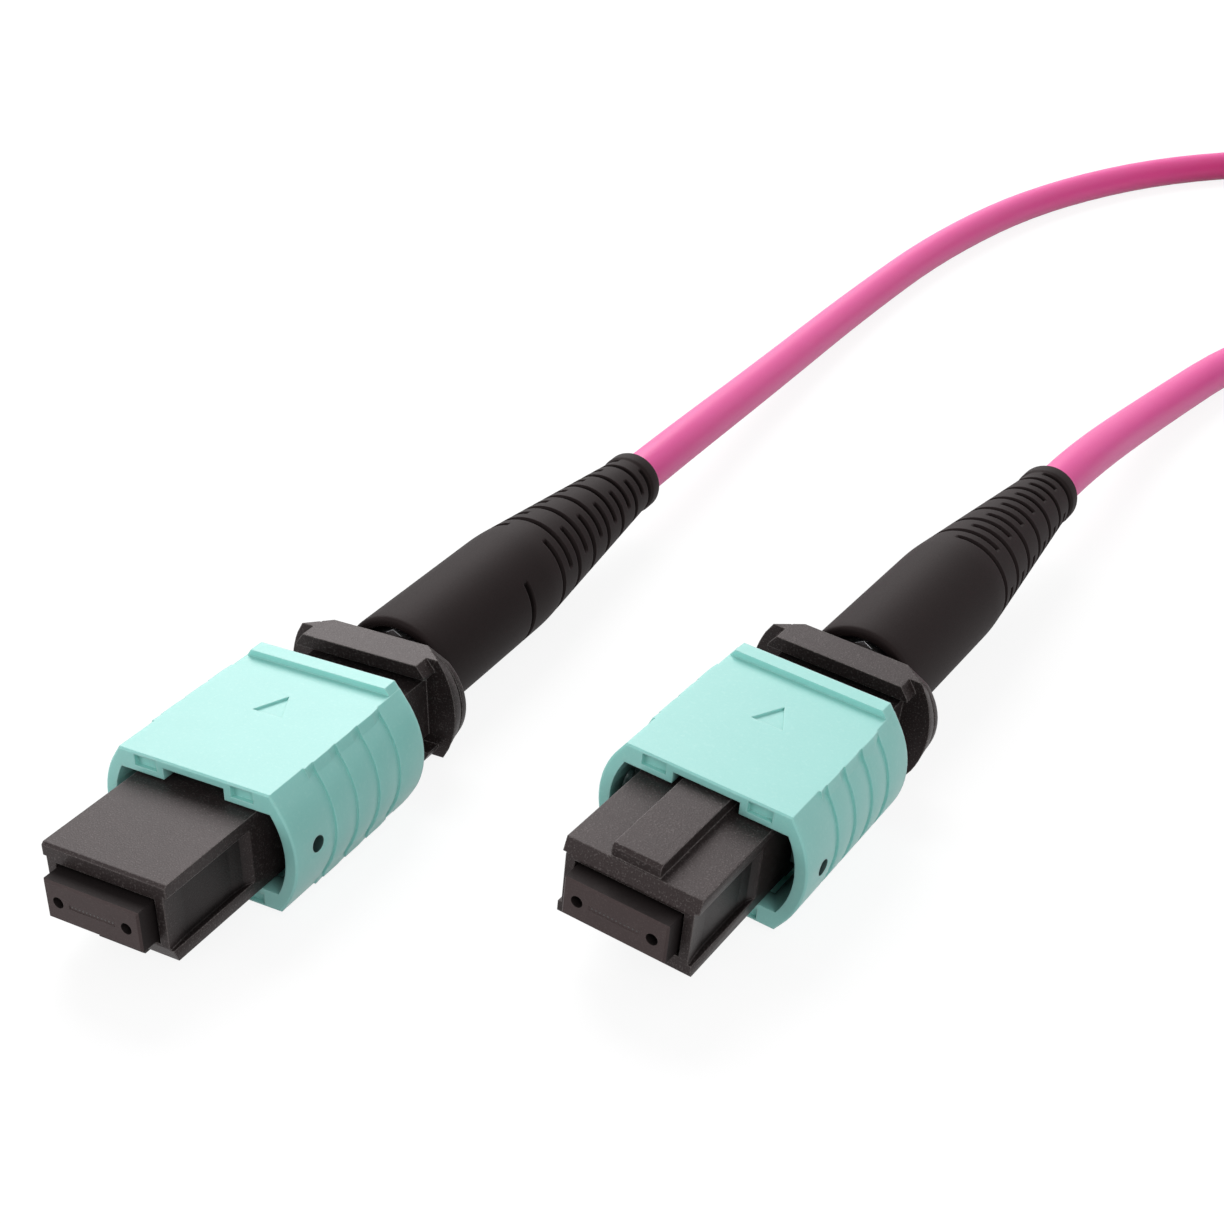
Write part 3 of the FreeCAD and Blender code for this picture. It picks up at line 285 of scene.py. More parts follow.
# %% Strain relief
BOOT_FRONT, BOOT_KINK, BOOT_COLLAR, BOOT_END = 27.0, 40.9, 58.6, 60.0
BOOT_RADIUS, TAIL_RADIUS, COLLAR_RADIUS = 3.83, 2.2, 2.32
BORE_RADIUS, THROAT_RADIUS, STEM_END = 3.16, 1.7, 34.5
SLOT_FLOOR, SLOT_HALF, SLOT_SWEEP = 1.93, 0.23, 64.0
FIRST_SLOT, SLOT_PITCH, EVEN_COUNT, ODD_COUNT = 42.4, 2.65, 7, 6
EVEN_SLOTS = FIRST_SLOT + SLOT_PITCH * np.arange(EVEN_COUNT)
ODD_SLOTS = FIRST_SLOT + SLOT_PITCH / 2 + SLOT_PITCH * np.arange(ODD_COUNT)
NOTCH, NOTCH_DEPTH, NOTCH_SWEEP = np.array([37.95]), 0.5, 43.0
KINK_SOFTNESS, COLLAR_LEAD, COLLAR_RISE = 0.03, 0.1, 0.25
FRONT_ROUND, END_ROUND, BORE_ROUND = 0.3, 0.35, 0.05
RIM_OUT, RIM_IN, RIM_TURN = 0.05, 0.04, 2.5
POINTS_ROUND = 192
# Rows of the grid lie closer near a rim: distances from the middle of a slot, and from either end.
RIM_ROWS = np.array([0.06, 0.18, 0.21, 0.23, 0.25, 0.28, 0.36])
END_ROWS = np.array([0.0, 0.01, 0.04, 0.09, 0.16, 0.3])


def smooth_step(low, high, value):
    """0 at low, 1 at high, the cubic 3t2 - 2t3 between them and level beyond; low may be the larger."""
    t = np.clip((value - low) / (high - low), 0.0, 1.0)
    return t * t * (3 - 2 * t)


def boot_skin(station):
    """Barrel and taper joined by a soft minimum, a smooth step up to the collar, and both ends rounded."""
    slope = (BOOT_RADIUS - TAIL_RADIUS) / (BOOT_COLLAR - BOOT_KINK)
    taper = BOOT_RADIUS - slope * (station - BOOT_KINK)
    skin = -KINK_SOFTNESS * np.log(np.exp(-BOOT_RADIUS / KINK_SOFTNESS) + np.exp(-taper / KINK_SOFTNESS))
    lift = smooth_step(BOOT_COLLAR - COLLAR_LEAD, BOOT_COLLAR + COLLAR_RISE, station)
    skin = skin * (1 - lift) + COLLAR_RADIUS * lift
    front = np.clip((BOOT_FRONT + FRONT_ROUND - station) / FRONT_ROUND, 0.0, 1.0)
    rear = np.clip((station - BOOT_END + END_ROUND) / END_ROUND, 0.0, 1.0)
    return skin - FRONT_ROUND * (1 - np.sqrt(1 - front ** 2)) - END_ROUND * (1 - np.sqrt(1 - rear ** 2))


def slot_share(station, angle, slots, facing, sweep, repeat):
    """1 inside a slot and 0 outside; the slots of one station repeat after so many degrees."""
    across = np.abs(station[:, None] - slots[None, :]).min(axis=1)
    along = smooth_step(SLOT_HALF + RIM_OUT, SLOT_HALF - RIM_IN, across)
    turn = np.abs((angle - facing + repeat / 2) % repeat - repeat / 2)
    return along[:, None] * smooth_step(sweep + RIM_TURN, sweep - RIM_TURN, turn)[None, :]


def boot_surface():
    """Outer skin from front to end, then the throat and the wider bore back to the front.

    With the grid comes how far each point lies down in a slot, from 0 to 1, for the painted shade of the
    finish.
    """
    near = np.concatenate([-RIM_ROWS[::-1], RIM_ROWS])
    slots = np.concatenate([NOTCH, EVEN_SLOTS, ODD_SLOTS])
    station = np.unique(np.concatenate([
        BOOT_FRONT + END_ROWS,
        np.linspace(BOOT_FRONT + 1, BOOT_KINK - 1, 10),
        np.linspace(BOOT_KINK - 0.6, BOOT_KINK + 1.8, 7),
        (slots[:, None] + near[None, :]).ravel(),
        np.linspace(BOOT_COLLAR - 0.15, BOOT_COLLAR + 0.4, 9),
        BOOT_END - END_ROWS]))
    angle = np.arange(POINTS_ROUND) * 360.0 / POINTS_ROUND
    skin = boot_skin(station)
    share = np.maximum(slot_share(station, angle, EVEN_SLOTS, 0.0, SLOT_SWEEP, 180.0),
                       slot_share(station, angle, ODD_SLOTS, 90.0, SLOT_SWEEP, 180.0))
    notch = slot_share(station, angle, NOTCH, 0.0, NOTCH_SWEEP, 360.0)
    outer = skin[:, None] - share * np.maximum(skin - SLOT_FLOOR, 0.0)[:, None] - notch * NOTCH_DEPTH
    back = [(BOOT_END, THROAT_RADIUS + BORE_ROUND), (BOOT_END - BORE_ROUND, THROAT_RADIUS),
            (STEM_END, THROAT_RADIUS), (STEM_END, BORE_RADIUS),
            (BOOT_FRONT + BORE_ROUND, BORE_RADIUS), (BOOT_FRONT, BORE_RADIUS + BORE_ROUND)]
    station = np.concatenate([station, [z for z, r in back]])
    radius = np.concatenate([outer, np.array([[r] * POINTS_ROUND for z, r in back])])
    painted_shade_amount = np.concatenate([np.maximum(share, notch), np.zeros((len(back), POINTS_ROUND))])
    turn = np.radians(angle)[None, :]
    grid = np.stack(np.broadcast_arrays(
        radius * np.cos(turn), radius * np.sin(turn), station[:, None]), axis=-1)
    return grid, painted_shade_amount


boots = {}
grid, painted_shade_amount = boot_surface()
points, quads = surface(grid, ring=True)
for side in PLUGS:
    boots[side] = piece_of(side + "_boot_skin", [(laid(side, points, "boot_roll"), quads)])
    # the slots and the notch darken by this mask, as painted shade
    painted_shade_mask = boots[side].data.attributes.new("painted_shade", "FLOAT", "POINT")
    painted_shade_mask.data.foreach_set("value", painted_shade_amount.astype(np.float32).ravel())
    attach(boots[side], "cable_set")
    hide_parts(side + "_strain_relief_boot")

# %% [markdown]
# The solids meet at knife edges, which no moulding has. A copy of a solid with its doubled corners merged
# and its flat faces joined can carry a live bevel, which rounds rims, noses and the crests of the grip
# teeth in true geometry, so that the outline is soft too.

# %% Mouldings with rounded edges
EDGE_ANGLE, FLAT_ANGLE, MERGE_WITHIN = 25.0, 0.5, 0.001
EDGE_WIDTHS = {"coupling_sleeve": 0.09, "inner_housing": 0.07, "rear_body": 0.07, "ferrule": 0.04}


def rounded_copy(node, width):
    """The node's faces, corners merged and coplanar faces joined, with a bevel along the sharp edges."""
    faces = bmesh.new()
    faces.from_mesh(nodes[node].data)
    bmesh.ops.remove_doubles(faces, verts=faces.verts, dist=MERGE_WITHIN * MM)
    bmesh.ops.dissolve_limit(faces, angle_limit=math.radians(FLAT_ANGLE),
                             verts=faces.verts, edges=faces.edges)
    mesh = bpy.data.meshes.new(node + "_rounded")
    faces.to_mesh(mesh)
    faces.free()
    item = bpy.data.objects.new(node + "_rounded", mesh)
    bpy.context.scene.collection.objects.link(item)
    bevel = item.modifiers.new("rounded_edges", "BEVEL")
    bevel.width = width * MM
    bevel.segments = 2
    bevel.limit_method = "ANGLE"
    bevel.angle_limit = math.radians(EDGE_ANGLE)
    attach(item, nodes[node]["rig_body"])
    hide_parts(node)
    print(item.name, "has", len(mesh.polygons), "faces before its bevel")
    return item


mouldings = {}
for side in PLUGS:
    for piece, width in EDGE_WIDTHS.items():
        mouldings[side, piece] = rounded_copy(side + "_" + piece, width)

# %% [markdown]
# The crests of the teeth run out softly towards the flat faces of the sleeve instead of ending in ears, so
# their outer corners move inwards a little, and the floor of the triangle on each flat face goes a little
# deeper, so that its rim catches the light. The corners are picked by where they lie along the plug's axes.

# %% Teeth and triangles of the sleeves
EAR_HEIGHT, EAR_REACH, EAR_CUT = 3.85, 5.5, 0.2
FACE_HEIGHT, FLOOR_DEPTH, FLOOR_SINK = 3.9, 0.08, 0.06
FLOOR_REACH, FLOOR_FRONT, FLOOR_REAR = 1.1, 14.1, 16.4


def corners_of(side, piece):
    """All corner points of a moulding as one array, along the plug's own axes."""
    mesh = mouldings[side, piece].data
    flat = np.empty(3 * len(mesh.vertices), dtype=np.float32)
    mesh.vertices.foreach_get("co", flat)
    return mesh, along_plug(side, flat.reshape(-1, 3) / MM)


for side in PLUGS:
    mesh, place = corners_of(side, "coupling_sleeve")
    ears = (np.abs(place[:, 1]) > EAR_HEIGHT) & (np.abs(place[:, 0]) > EAR_REACH)
    place[:, 0] -= np.sign(place[:, 0]) * EAR_CUT * ears
    height = np.abs(place[:, 1])
    near = (np.abs(place[:, 0]) < FLOOR_REACH) & (place[:, 2] > FLOOR_FRONT) & (place[:, 2] < FLOOR_REAR)
    sunk = near & (np.abs(height - (FACE_HEIGHT - FLOOR_DEPTH)) < FLOOR_DEPTH / 2)
    place[:, 1] -= np.sign(place[:, 1]) * FLOOR_SINK * sunk
    mesh.vertices.foreach_set("co", (laid(side, place) * MM).astype(np.float32).ravel())
    mesh.update()
    print(side, "sleeve:", ears.sum(), "tooth corners eased,", sunk.sum(), "corners of triangles sunk")

# %% [markdown]
# Little light gets into a sleeve and its side holes, into the window of a housing, or behind the end face of
# a ferrule, so that shade is painted there: a mask tells inside from outside, and the finish darkens by it.
# It is kept on the corners of the faces: most corners take the value of their point, but the wall of a hole
# and the sides of a ferrule take the painted shade as whole faces, up to a rim that they share with a light
# one.

# %% Masks of painted shade for the insides
SKIN_REACH, SKIN_BOW, SKIN_EDGE, WALL_SHARE = 6.65, 1.05, 3.3, 0.5
SLEEVE_MOUTH, BORE_HEIGHT = 7.7, 2.9
WINDOW_REACH, WINDOW_HEIGHT, WINDOW_START = 3.9, 2.1, 0.3
END_FACE_BACK = -1.05
HOLE_STATION, HOLE_REACH, HOLE_START = 9.5, 0.52, 4.0


def points_inside(piece, place):
    """True within the bowed wall of the sleeve or within the window of the housing."""
    across, height, station = np.abs(place[:, 0]), np.abs(place[:, 1]), place[:, 2]
    if piece == "coupling_sleeve":
        wall = SKIN_REACH - SKIN_BOW * (height / SKIN_EDGE) ** 2 - WALL_SHARE
        return (across < wall) & (height < BORE_HEIGHT) & (station > SLEEVE_MOUTH)
    if piece == "inner_housing":
        return (across < WINDOW_REACH) & (height < WINDOW_HEIGHT) & (station > WINDOW_START)
    return np.zeros(len(place), dtype=bool)


def faces_inside(piece, middle):
    """True for the wall of the side holes and for the ferrule's faces behind its end face."""
    if piece == "coupling_sleeve":
        from_axis = np.hypot(middle[:, 1], middle[:, 2] - HOLE_STATION)
        return (from_axis < HOLE_REACH) & (np.abs(middle[:, 0]) > HOLE_START)
    if piece == "ferrule":
        return middle[:, 2] > END_FACE_BACK
    return np.zeros(len(middle), dtype=bool)


for side in PLUGS:
    for piece in ("coupling_sleeve", "inner_housing", "ferrule"):
        mesh, place = corners_of(side, piece)
        middles = np.empty(3 * len(mesh.polygons), dtype=np.float32)
        mesh.polygons.foreach_get("center", middles)
        sizes = np.empty(len(mesh.polygons), dtype=np.int32)
        mesh.polygons.foreach_get("loop_total", sizes)
        point_of = np.empty(len(mesh.loops), dtype=np.int32)
        mesh.loops.foreach_get("vertex_index", point_of)
        # this mask marks where shade is painted: bores, windows, hole walls and ferrule sides
        whole = faces_inside(piece, along_plug(side, middles.reshape(-1, 3) / MM))
        painted_shade = points_inside(piece, place)[point_of] | np.repeat(whole, sizes)
        painted_shade_mask = mesh.attributes.new("painted_shade", "FLOAT", "CORNER")
        painted_shade_mask.data.foreach_set("value", painted_shade.astype(np.float32))
        print(side, piece, "has", painted_shade.sum(), "of", len(painted_shade), "corners inside,",
              whole.sum(), "faces whole")

# %% [markdown]
# In the middle of each ferrule's end face, in a shallow dish, twelve glass fibres end in a row, a quarter of
# a millimetre apart. They are polished a hair proud of the resin, so each is a tiny dome, whose height falls
# off ever faster from its middle to its rim.

# %% Fibre ends
FIBRE_RADIUS, FIBRE_PITCH, FIBRES = 0.0625, 0.25, 12
DISH_DEPTH = 0.04
END_FACE = FERRULE_TIP + DISH_DEPTH
DOME_RINGS = np.array([1.0, 1.0, 0.8, 0.5, 0.02]) * FIBRE_RADIUS
DOME_LIFTS = np.array([-0.02, 0.002, 0.005, 0.007, 0.008])
DOME_CORNERS = 12


def fibre_dome(x):
    """A dome on rings of shrinking radius, from its rim in the resin to its middle."""
    turn = np.linspace(0, 2 * np.pi, DOME_CORNERS, endpoint=False)
    grid = np.stack(np.broadcast_arrays(
        x + DOME_RINGS[:, None] * np.cos(turn), DOME_RINGS[:, None] * np.sin(turn),
        END_FACE - DOME_LIFTS[:, None]), axis=-1)
    return surface(grid, ring=False)


fibre_ends = {}
for side in PLUGS:
    row = [fibre_dome(FIBRE_PITCH * (i - (FIBRES - 1) / 2)) for i in range(FIBRES)]
    fibre_ends[side] = piece_of(side + "_fibre_ends", [(laid(side, points), quads) for points, quads in row])
    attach(fibre_ends[side], side + "_ferrule_set")

# %% [markdown]
# Springs are round wire wound on a helix, with the last turns closed up against their seats. The wire is
# a circle carried along the helix. When the sleeve is pulled back or the ferrule is pushed in, the spring
# is squeezed towards its fixed seat; the plan below names that seat and the share of the length kept, but
# only the wires are made here.

# %% Springs
POINTS_PER_WIND, WIRE_CORNERS = 20, 10
CLOSED_TURNS, CLOSED_RISE = 1.2, 2.4


def wound_wire(radius, wire, start, stop, turns, offset):
    """Helix of round wire: it rises slowly in the closed turns at both ends and evenly between them."""
    share = np.linspace(0.0, 1.0, int(turns * POINTS_PER_WIND) + 1)
    turn = 2 * np.pi * turns * share
    closed = CLOSED_TURNS / turns
    room = stop - start - 2 * wire
    lift = np.interp(share, [0, closed, 1 - closed, 1],
                     [0, CLOSED_RISE * wire, room - CLOSED_RISE * wire, room])
    around = np.linspace(0, 2 * np.pi, WIRE_CORNERS, endpoint=False)
    reach = radius + wire * np.cos(around)[None, :]
    grid = np.stack([offset + reach * np.cos(turn)[:, None], reach * np.sin(turn)[:, None],
                     (start + wire + lift)[:, None] + wire * np.sin(around)[None, :]], axis=-1)
    return surface(grid, ring=False)


EAR_FRONT, STEP_REAR, SLEEVE_TRAVEL = 19.3, 11.0, 2.0
SPACER_REAR, BLOCK_FRONT, FERRULE_TRAVEL = 7.9, 15.5, 0.6
PAIR_RADIUS, PAIR_WIRE, PAIR_TURNS, PAIR_REACH = 0.46, 0.09, 16, 4.87
SINGLE_RADIUS, SINGLE_WIRE, SINGLE_TURNS = 1.52, 0.15, 7
springs = []
for side in PLUGS:
    pair = [wound_wire(PAIR_RADIUS, PAIR_WIRE, STEP_REAR, EAR_FRONT, PAIR_TURNS, x)
            for x in (-PAIR_REACH, PAIR_REACH)]
    single = [wound_wire(SINGLE_RADIUS, SINGLE_WIRE, SPACER_REAR, BLOCK_FRONT, SINGLE_TURNS, 0.0)]
    plan = ((side + "_coupling_springs", pair, side + "_sleeve_slide", EAR_FRONT,
             1 - SLEEVE_TRAVEL / (EAR_FRONT - STEP_REAR)),
            (side + "_ferrule_spring", single, side + "_ferrule_slide", BLOCK_FRONT,
             1 - FERRULE_TRAVEL / (BLOCK_FRONT - SPACER_REAR)))
    for node, wires, joint, seat, keep in plan:
        spring = piece_of(node + "_wire", [(laid(side, points), quads) for points, quads in wires])
        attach(spring, nodes[node]["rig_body"])
        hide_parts(node)
        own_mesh(spring)
        springs.append(spring)

# %% [markdown]
# A strap of hook-and-loop tape keeps the coil together. Its line is a rounded rectangle round the bundle
# of turns, and the tape's thin rounded section is carried along that line and closed to a ring, without
# the lap where such a strap is pressed shut.

# %% Strap round the coil
STRAP_TURN = math.radians(20.0)
STRAP_IN, STRAP_OUT, STRAP_LOW, STRAP_HIGH = 12.1, 30.3, 0.25, 14.5
STRAP_WIDTH, STRAP_THICKNESS = 5.0, 0.5
STRAP_STEPS, STRAP_CORNERS = 160, 28
PATH_POWER, WIDTH_POWER, THICKNESS_POWER = 2 / 7, 0.35, 0.7


def strap_surface(width, thickness):
    """Superellipse round the bundle as the path; a flat superellipse as the section."""
    turn = np.linspace(0.0, 2 * np.pi, STRAP_STEPS, endpoint=False)
    middle = np.array([(STRAP_IN + STRAP_OUT) / 2, (STRAP_LOW + STRAP_HIGH) / 2])
    half = np.array([(STRAP_OUT - STRAP_IN) / 2, (STRAP_HIGH - STRAP_LOW) / 2])
    wave = np.stack([np.cos(turn), np.sin(turn)], axis=-1)
    path = middle + half * np.sign(wave) * np.abs(wave) ** PATH_POWER
    ahead = np.roll(path, -1, axis=0) - np.roll(path, 1, axis=0)
    ahead /= np.linalg.norm(ahead, axis=1, keepdims=True)
    outward = np.stack([ahead[:, 1], -ahead[:, 0]], axis=-1)
    ring = np.linspace(0.0, 2 * np.pi, STRAP_CORNERS, endpoint=False)
    side = np.sign(np.cos(ring)) * np.abs(np.cos(ring)) ** WIDTH_POWER * width / 2
    rise = np.sign(np.sin(ring)) * np.abs(np.sin(ring)) ** THICKNESS_POWER * thickness / 2
    place = path[:, None, :] + outward[:, None, :] * rise[None, :, None]
    reach, height = place[..., 0], place[..., 1]
    x = COIL_CENTRE[0] + reach * math.cos(STRAP_TURN) - side[None, :] * math.sin(STRAP_TURN)
    y = COIL_CENTRE[1] + reach * math.sin(STRAP_TURN) + side[None, :] * math.cos(STRAP_TURN)
    return surface(np.stack([x, y, height], axis=-1), ring=True)


strap = piece_of("coil_strap", [strap_surface(STRAP_WIDTH, STRAP_THICKNESS)])
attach(strap, "cable_set")
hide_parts("coil_tie")

# %% [markdown]
# The cord is three metres of round cord that leave the left boot, lie coiled with the strap round them, and
# go back into the object at the other plug.

# %% Facts of the cord
print("cord: 3 m, leaving the left boot")

# %% [markdown]
# Now the finishes. Small helpers keep the node code readable: one adds a node with its settings, one
# joins two sockets and one finds a finish's shader. Colours are written as they look on a screen and
# turned into linear light.

# %% Helpers for finishes


def light(red, green, blue):
    """Screen colour from 0 to 255 as linear light, by the usual curve."""
    share = np.array([red, green, blue]) / 255
    linear = np.where(share <= 0.04045, share / 12.92, ((share + 0.055) / 1.055) ** 2.4)
    return (*linear.tolist(), 1.0)


def add(tree, kind, settings=None, **inputs):
    """A node of a kind, with its settings and the values of its inputs by name."""
    node = tree.nodes.new(kind)
    for name, value in (settings or {}).items():
        setattr(node, name, value)
    for name, value in inputs.items():
        node.inputs[name.replace("_", " ")].default_value = value
    return node


def link(tree, source, socket):
    """Joins an output socket to an input socket."""
    tree.links.new(source, socket)


def shader_of(material):
    """The Principled shader that a new material starts with."""
    return material.node_tree.nodes["Principled BSDF"]


# %% [markdown]
# Moulded plastic is never quite even. Fine spark-eroded grain, a slower mottling from the flow of the
# melt and a few pale glass flecks are shared by several finishes here, so they are one node group that
# puts out three masks, read from the object's own coordinates.

# %% Moulded grain, shared by several finishes
FLECK_START, FLECK_FULL = 0.52, 0.80
grain = bpy.data.node_groups.new("moulded_grain", "ShaderNodeTree")
SCALE_SOCKETS = ("Fine Scale", "Flow Scale", "Fleck Scale")
for name in SCALE_SOCKETS:
    grain.interface.new_socket(name, in_out="INPUT", socket_type="NodeSocketFloat")
for name in ("Fine", "Flow", "Fleck"):
    grain.interface.new_socket(name, in_out="OUTPUT", socket_type="NodeSocketFloat")
grain_in = grain.nodes.new("NodeGroupInput")
grain_out = grain.nodes.new("NodeGroupOutput")
grain_place = grain.nodes.new("ShaderNodeTexCoord")
fine = add(grain, "ShaderNodeTexNoise", {"noise_dimensions": "3D"}, Detail=3.0, Roughness=0.6)
flow = add(grain, "ShaderNodeTexNoise", {"noise_dimensions": "3D"}, Detail=2.0, Roughness=0.5, Distortion=0.6)
fleck = add(grain, "ShaderNodeTexNoise", {"noise_dimensions": "3D"}, Detail=1.0, Roughness=0.5)
fleck_cut = add(grain, "ShaderNodeMapRange", {"interpolation_type": "SMOOTHSTEP"},
                From_Min=FLECK_START, From_Max=FLECK_FULL)
for texture, scale in zip((fine, flow, fleck), SCALE_SOCKETS):
    link(grain, grain_place.outputs["Object"], texture.inputs["Vector"])
    link(grain, grain_in.outputs[scale], texture.inputs["Scale"])
link(grain, fine.outputs["Fac"], grain_out.inputs["Fine"])
link(grain, flow.outputs["Fac"], grain_out.inputs["Flow"])
link(grain, fleck.outputs["Fac"], fleck_cut.inputs["Value"])
link(grain, fleck_cut.outputs["Result"], grain_out.inputs["Fleck"])
print("grain group ready")

# %% [markdown]
# Sharp modelled corners are rounded by a few hundredths of a millimetre on the real mouldings and catch
# a thin line of light there, which is painted into the colour. The Bevel node gives the rounded normal; how
# far it differs from the true one tells how near the edge is, and this small group turns that into a mask for
# that painted highlight.

# %% Edge mask for painted highlights, shared by several finishes
AGREE_FLAT, AGREE_EDGE = 0.995, 0.80
edges = bpy.data.node_groups.new("painted_edge_highlight", "ShaderNodeTree")
edges.interface.new_socket("Rounded", in_out="INPUT", socket_type="NodeSocketVector")
edges.interface.new_socket("True", in_out="INPUT", socket_type="NodeSocketVector")
edges.interface.new_socket("Grain", in_out="INPUT", socket_type="NodeSocketFloat")
edges.interface.new_socket("Edge", in_out="OUTPUT", socket_type="NodeSocketFloat")
edges_in = edges.nodes.new("NodeGroupInput")
edges_out = edges.nodes.new("NodeGroupOutput")
agree = add(edges, "ShaderNodeVectorMath", {"operation": "DOT_PRODUCT"})
apart = add(edges, "ShaderNodeMapRange", {"interpolation_type": "SMOOTHSTEP"},
            From_Min=AGREE_FLAT, From_Max=AGREE_EDGE)
broken = add(edges, "ShaderNodeMath", {"operation": "MULTIPLY"})
link(edges, edges_in.outputs["Rounded"], agree.inputs[0])
link(edges, edges_in.outputs["True"], agree.inputs[1])
link(edges, agree.outputs["Value"], apart.inputs["Value"])
link(edges, apart.outputs["Result"], broken.inputs[0])
link(edges, edges_in.outputs["Grain"], broken.inputs[1])
link(edges, broken.outputs["Value"], edges_out.inputs["Edge"])
print("edge group ready")

# %% [markdown]
# Every moulded finish is then one recipe with its own numbers: a base colour that drifts a little with
# the flow, darker in the pores of the grain, paler at flecks, with a painted highlight along the edges,
# rough by the grain, and a bump on top of the rounded normal.

# %% Recipe for moulded finishes
BEVEL_SAMPLES, GLOSS_SPREAD, GRAIN_DEPTH = 6, 0.08, 0.02


def moulded(name, base, deep, pale, rough, bump, fleck_share, highlight_share, scales, edge_radius):
    """Colour = base drifting to deep by flow and grain, then to pale by flecks and by a painted edge
    highlight.
    """
    material = bpy.data.materials.new(name)
    material.use_nodes = True
    tree = material.node_tree
    shader = shader_of(material)
    masks = add(tree, "ShaderNodeGroup", {"node_tree": grain})
    for socket, value in zip(SCALE_SOCKETS, scales):
        masks.inputs[socket].default_value = value
    rounded = add(tree, "ShaderNodeBevel", {"samples": BEVEL_SAMPLES}, Radius=edge_radius * MM)
    unrounded = tree.nodes.new("ShaderNodeNewGeometry")
    edge_highlight_node = add(tree, "ShaderNodeGroup", {"node_tree": edges})
    link(tree, rounded.outputs["Normal"], edge_highlight_node.inputs["Rounded"])
    link(tree, unrounded.outputs["Normal"], edge_highlight_node.inputs["True"])
    link(tree, masks.outputs["Fine"], edge_highlight_node.inputs["Grain"])
    drift = add(tree, "ShaderNodeMix", {"data_type": "RGBA"})
    drift.inputs["A"].default_value = base
    drift.inputs["B"].default_value = deep
    both = add(tree, "ShaderNodeMath", {"operation": "MULTIPLY"})
    link(tree, masks.outputs["Flow"], both.inputs[0])
    link(tree, masks.outputs["Fine"], both.inputs[1])
    link(tree, both.outputs["Value"], drift.inputs["Factor"])
    flecks = add(tree, "ShaderNodeMath", {"operation": "MULTIPLY"})
    flecks.inputs[1].default_value = fleck_share
    link(tree, masks.outputs["Fleck"], flecks.inputs[0])
    # pale at the glass flecks, and a painted highlight along the edges
    highlight_and_flecks = add(tree, "ShaderNodeMath", {"operation": "MULTIPLY_ADD", "use_clamp": True})
    highlight_and_flecks.inputs[1].default_value = highlight_share
    link(tree, edge_highlight_node.outputs["Edge"], highlight_and_flecks.inputs[0])
    link(tree, flecks.outputs["Value"], highlight_and_flecks.inputs[2])
    coat = add(tree, "ShaderNodeMix", {"data_type": "RGBA"})
    coat.inputs["B"].default_value = pale
    link(tree, highlight_and_flecks.outputs["Value"], coat.inputs["Factor"])
    link(tree, drift.outputs["Result"], coat.inputs["A"])
    link(tree, coat.outputs["Result"], shader.inputs["Base Color"])
    gloss = add(tree, "ShaderNodeMapRange", To_Min=rough - GLOSS_SPREAD, To_Max=rough + GLOSS_SPREAD)
    link(tree, masks.outputs["Fine"], gloss.inputs["Value"])
    link(tree, gloss.outputs["Result"], shader.inputs["Roughness"])
    relief = add(tree, "ShaderNodeBump", Strength=bump, Distance=GRAIN_DEPTH * MM)
    link(tree, masks.outputs["Fine"], relief.inputs["Height"])
    link(tree, rounded.outputs["Normal"], relief.inputs["Normal"])
    link(tree, relief.outputs["Normal"], shader.inputs["Normal"])
    return material


# %% [markdown]
# The visible mouldings: the aqua sleeve in satin plastic with hardly any grain, the black housing and
# rear body in glass-filled resin with a coarse sparkle, the ferrule in a browner, finer resin, and the
# strain relief in soft dull rubber. The plate behind the ferrule, deep inside, is a pale resin.

# %% Moulded finishes
WARM_TINT = (1.0, 0.84, 0.84, 1.0)
aqua = moulded("aqua_sleeve_plastic", base=light(152, 214, 207), deep=light(140, 205, 198),
               pale=light(205, 242, 236), rough=0.42, bump=0.2, fleck_share=0.08, highlight_share=0.5,
               scales=(9000.0, 260.0, 4000.0), edge_radius=0.07)
black = moulded("black_filled_resin", base=light(42, 35, 35), deep=light(4, 4, 4),
                pale=light(165, 158, 156), rough=0.44, bump=1.0, fleck_share=0.19, highlight_share=0.9,
                scales=(9500.0, 900.0, 9500.0), edge_radius=0.11)
ferrule_resin = moulded("ferrule_resin", base=light(68, 58, 58), deep=light(52, 44, 44),
                        pale=light(116, 106, 104), rough=0.55, bump=0.3, fleck_share=0.15,
                        highlight_share=0.6, scales=(12000.0, 700.0, 11000.0), edge_radius=0.04)
rubber = moulded("boot_rubber", base=light(25, 18, 18), deep=light(14, 11, 11),
                 pale=light(50, 42, 42), rough=0.66, bump=0.2, fleck_share=0.08, highlight_share=0.2,
                 scales=(12000.0, 220.0, 9000.0), edge_radius=0.05)
spacer_resin = moulded("spacer_resin", base=light(190, 184, 170), deep=light(170, 163, 148),
                       pale=light(215, 210, 200), rough=0.5, bump=0.2, fleck_share=0.1,
                       highlight_share=0.4, scales=(9000.0, 500.0, 6000.0), edge_radius=0.04)
for material, level in ((black, 0.24), (ferrule_resin, 0.2), (rubber, 0.16), (aqua, 0.5)):
    shader_of(material).inputs["Specular IOR Level"].default_value = level
for material in (black, ferrule_resin, rubber):
    shader_of(material).inputs["Specular Tint"].default_value = WARM_TINT
print("moulded finishes:", [m.name for m in (aqua, black, ferrule_resin, rubber, spacer_resin)])

# %% [markdown]
# Insides, and the slots of the strain reliefs, take painted shade by the mask on the mesh: their base colour
# goes dark there. The attribute is read in the material and mixed in just before the base colour, so one
# small function serves four finishes.

# %% Painted shade inside
PAINTED_SHADE_SHARE = 0.92


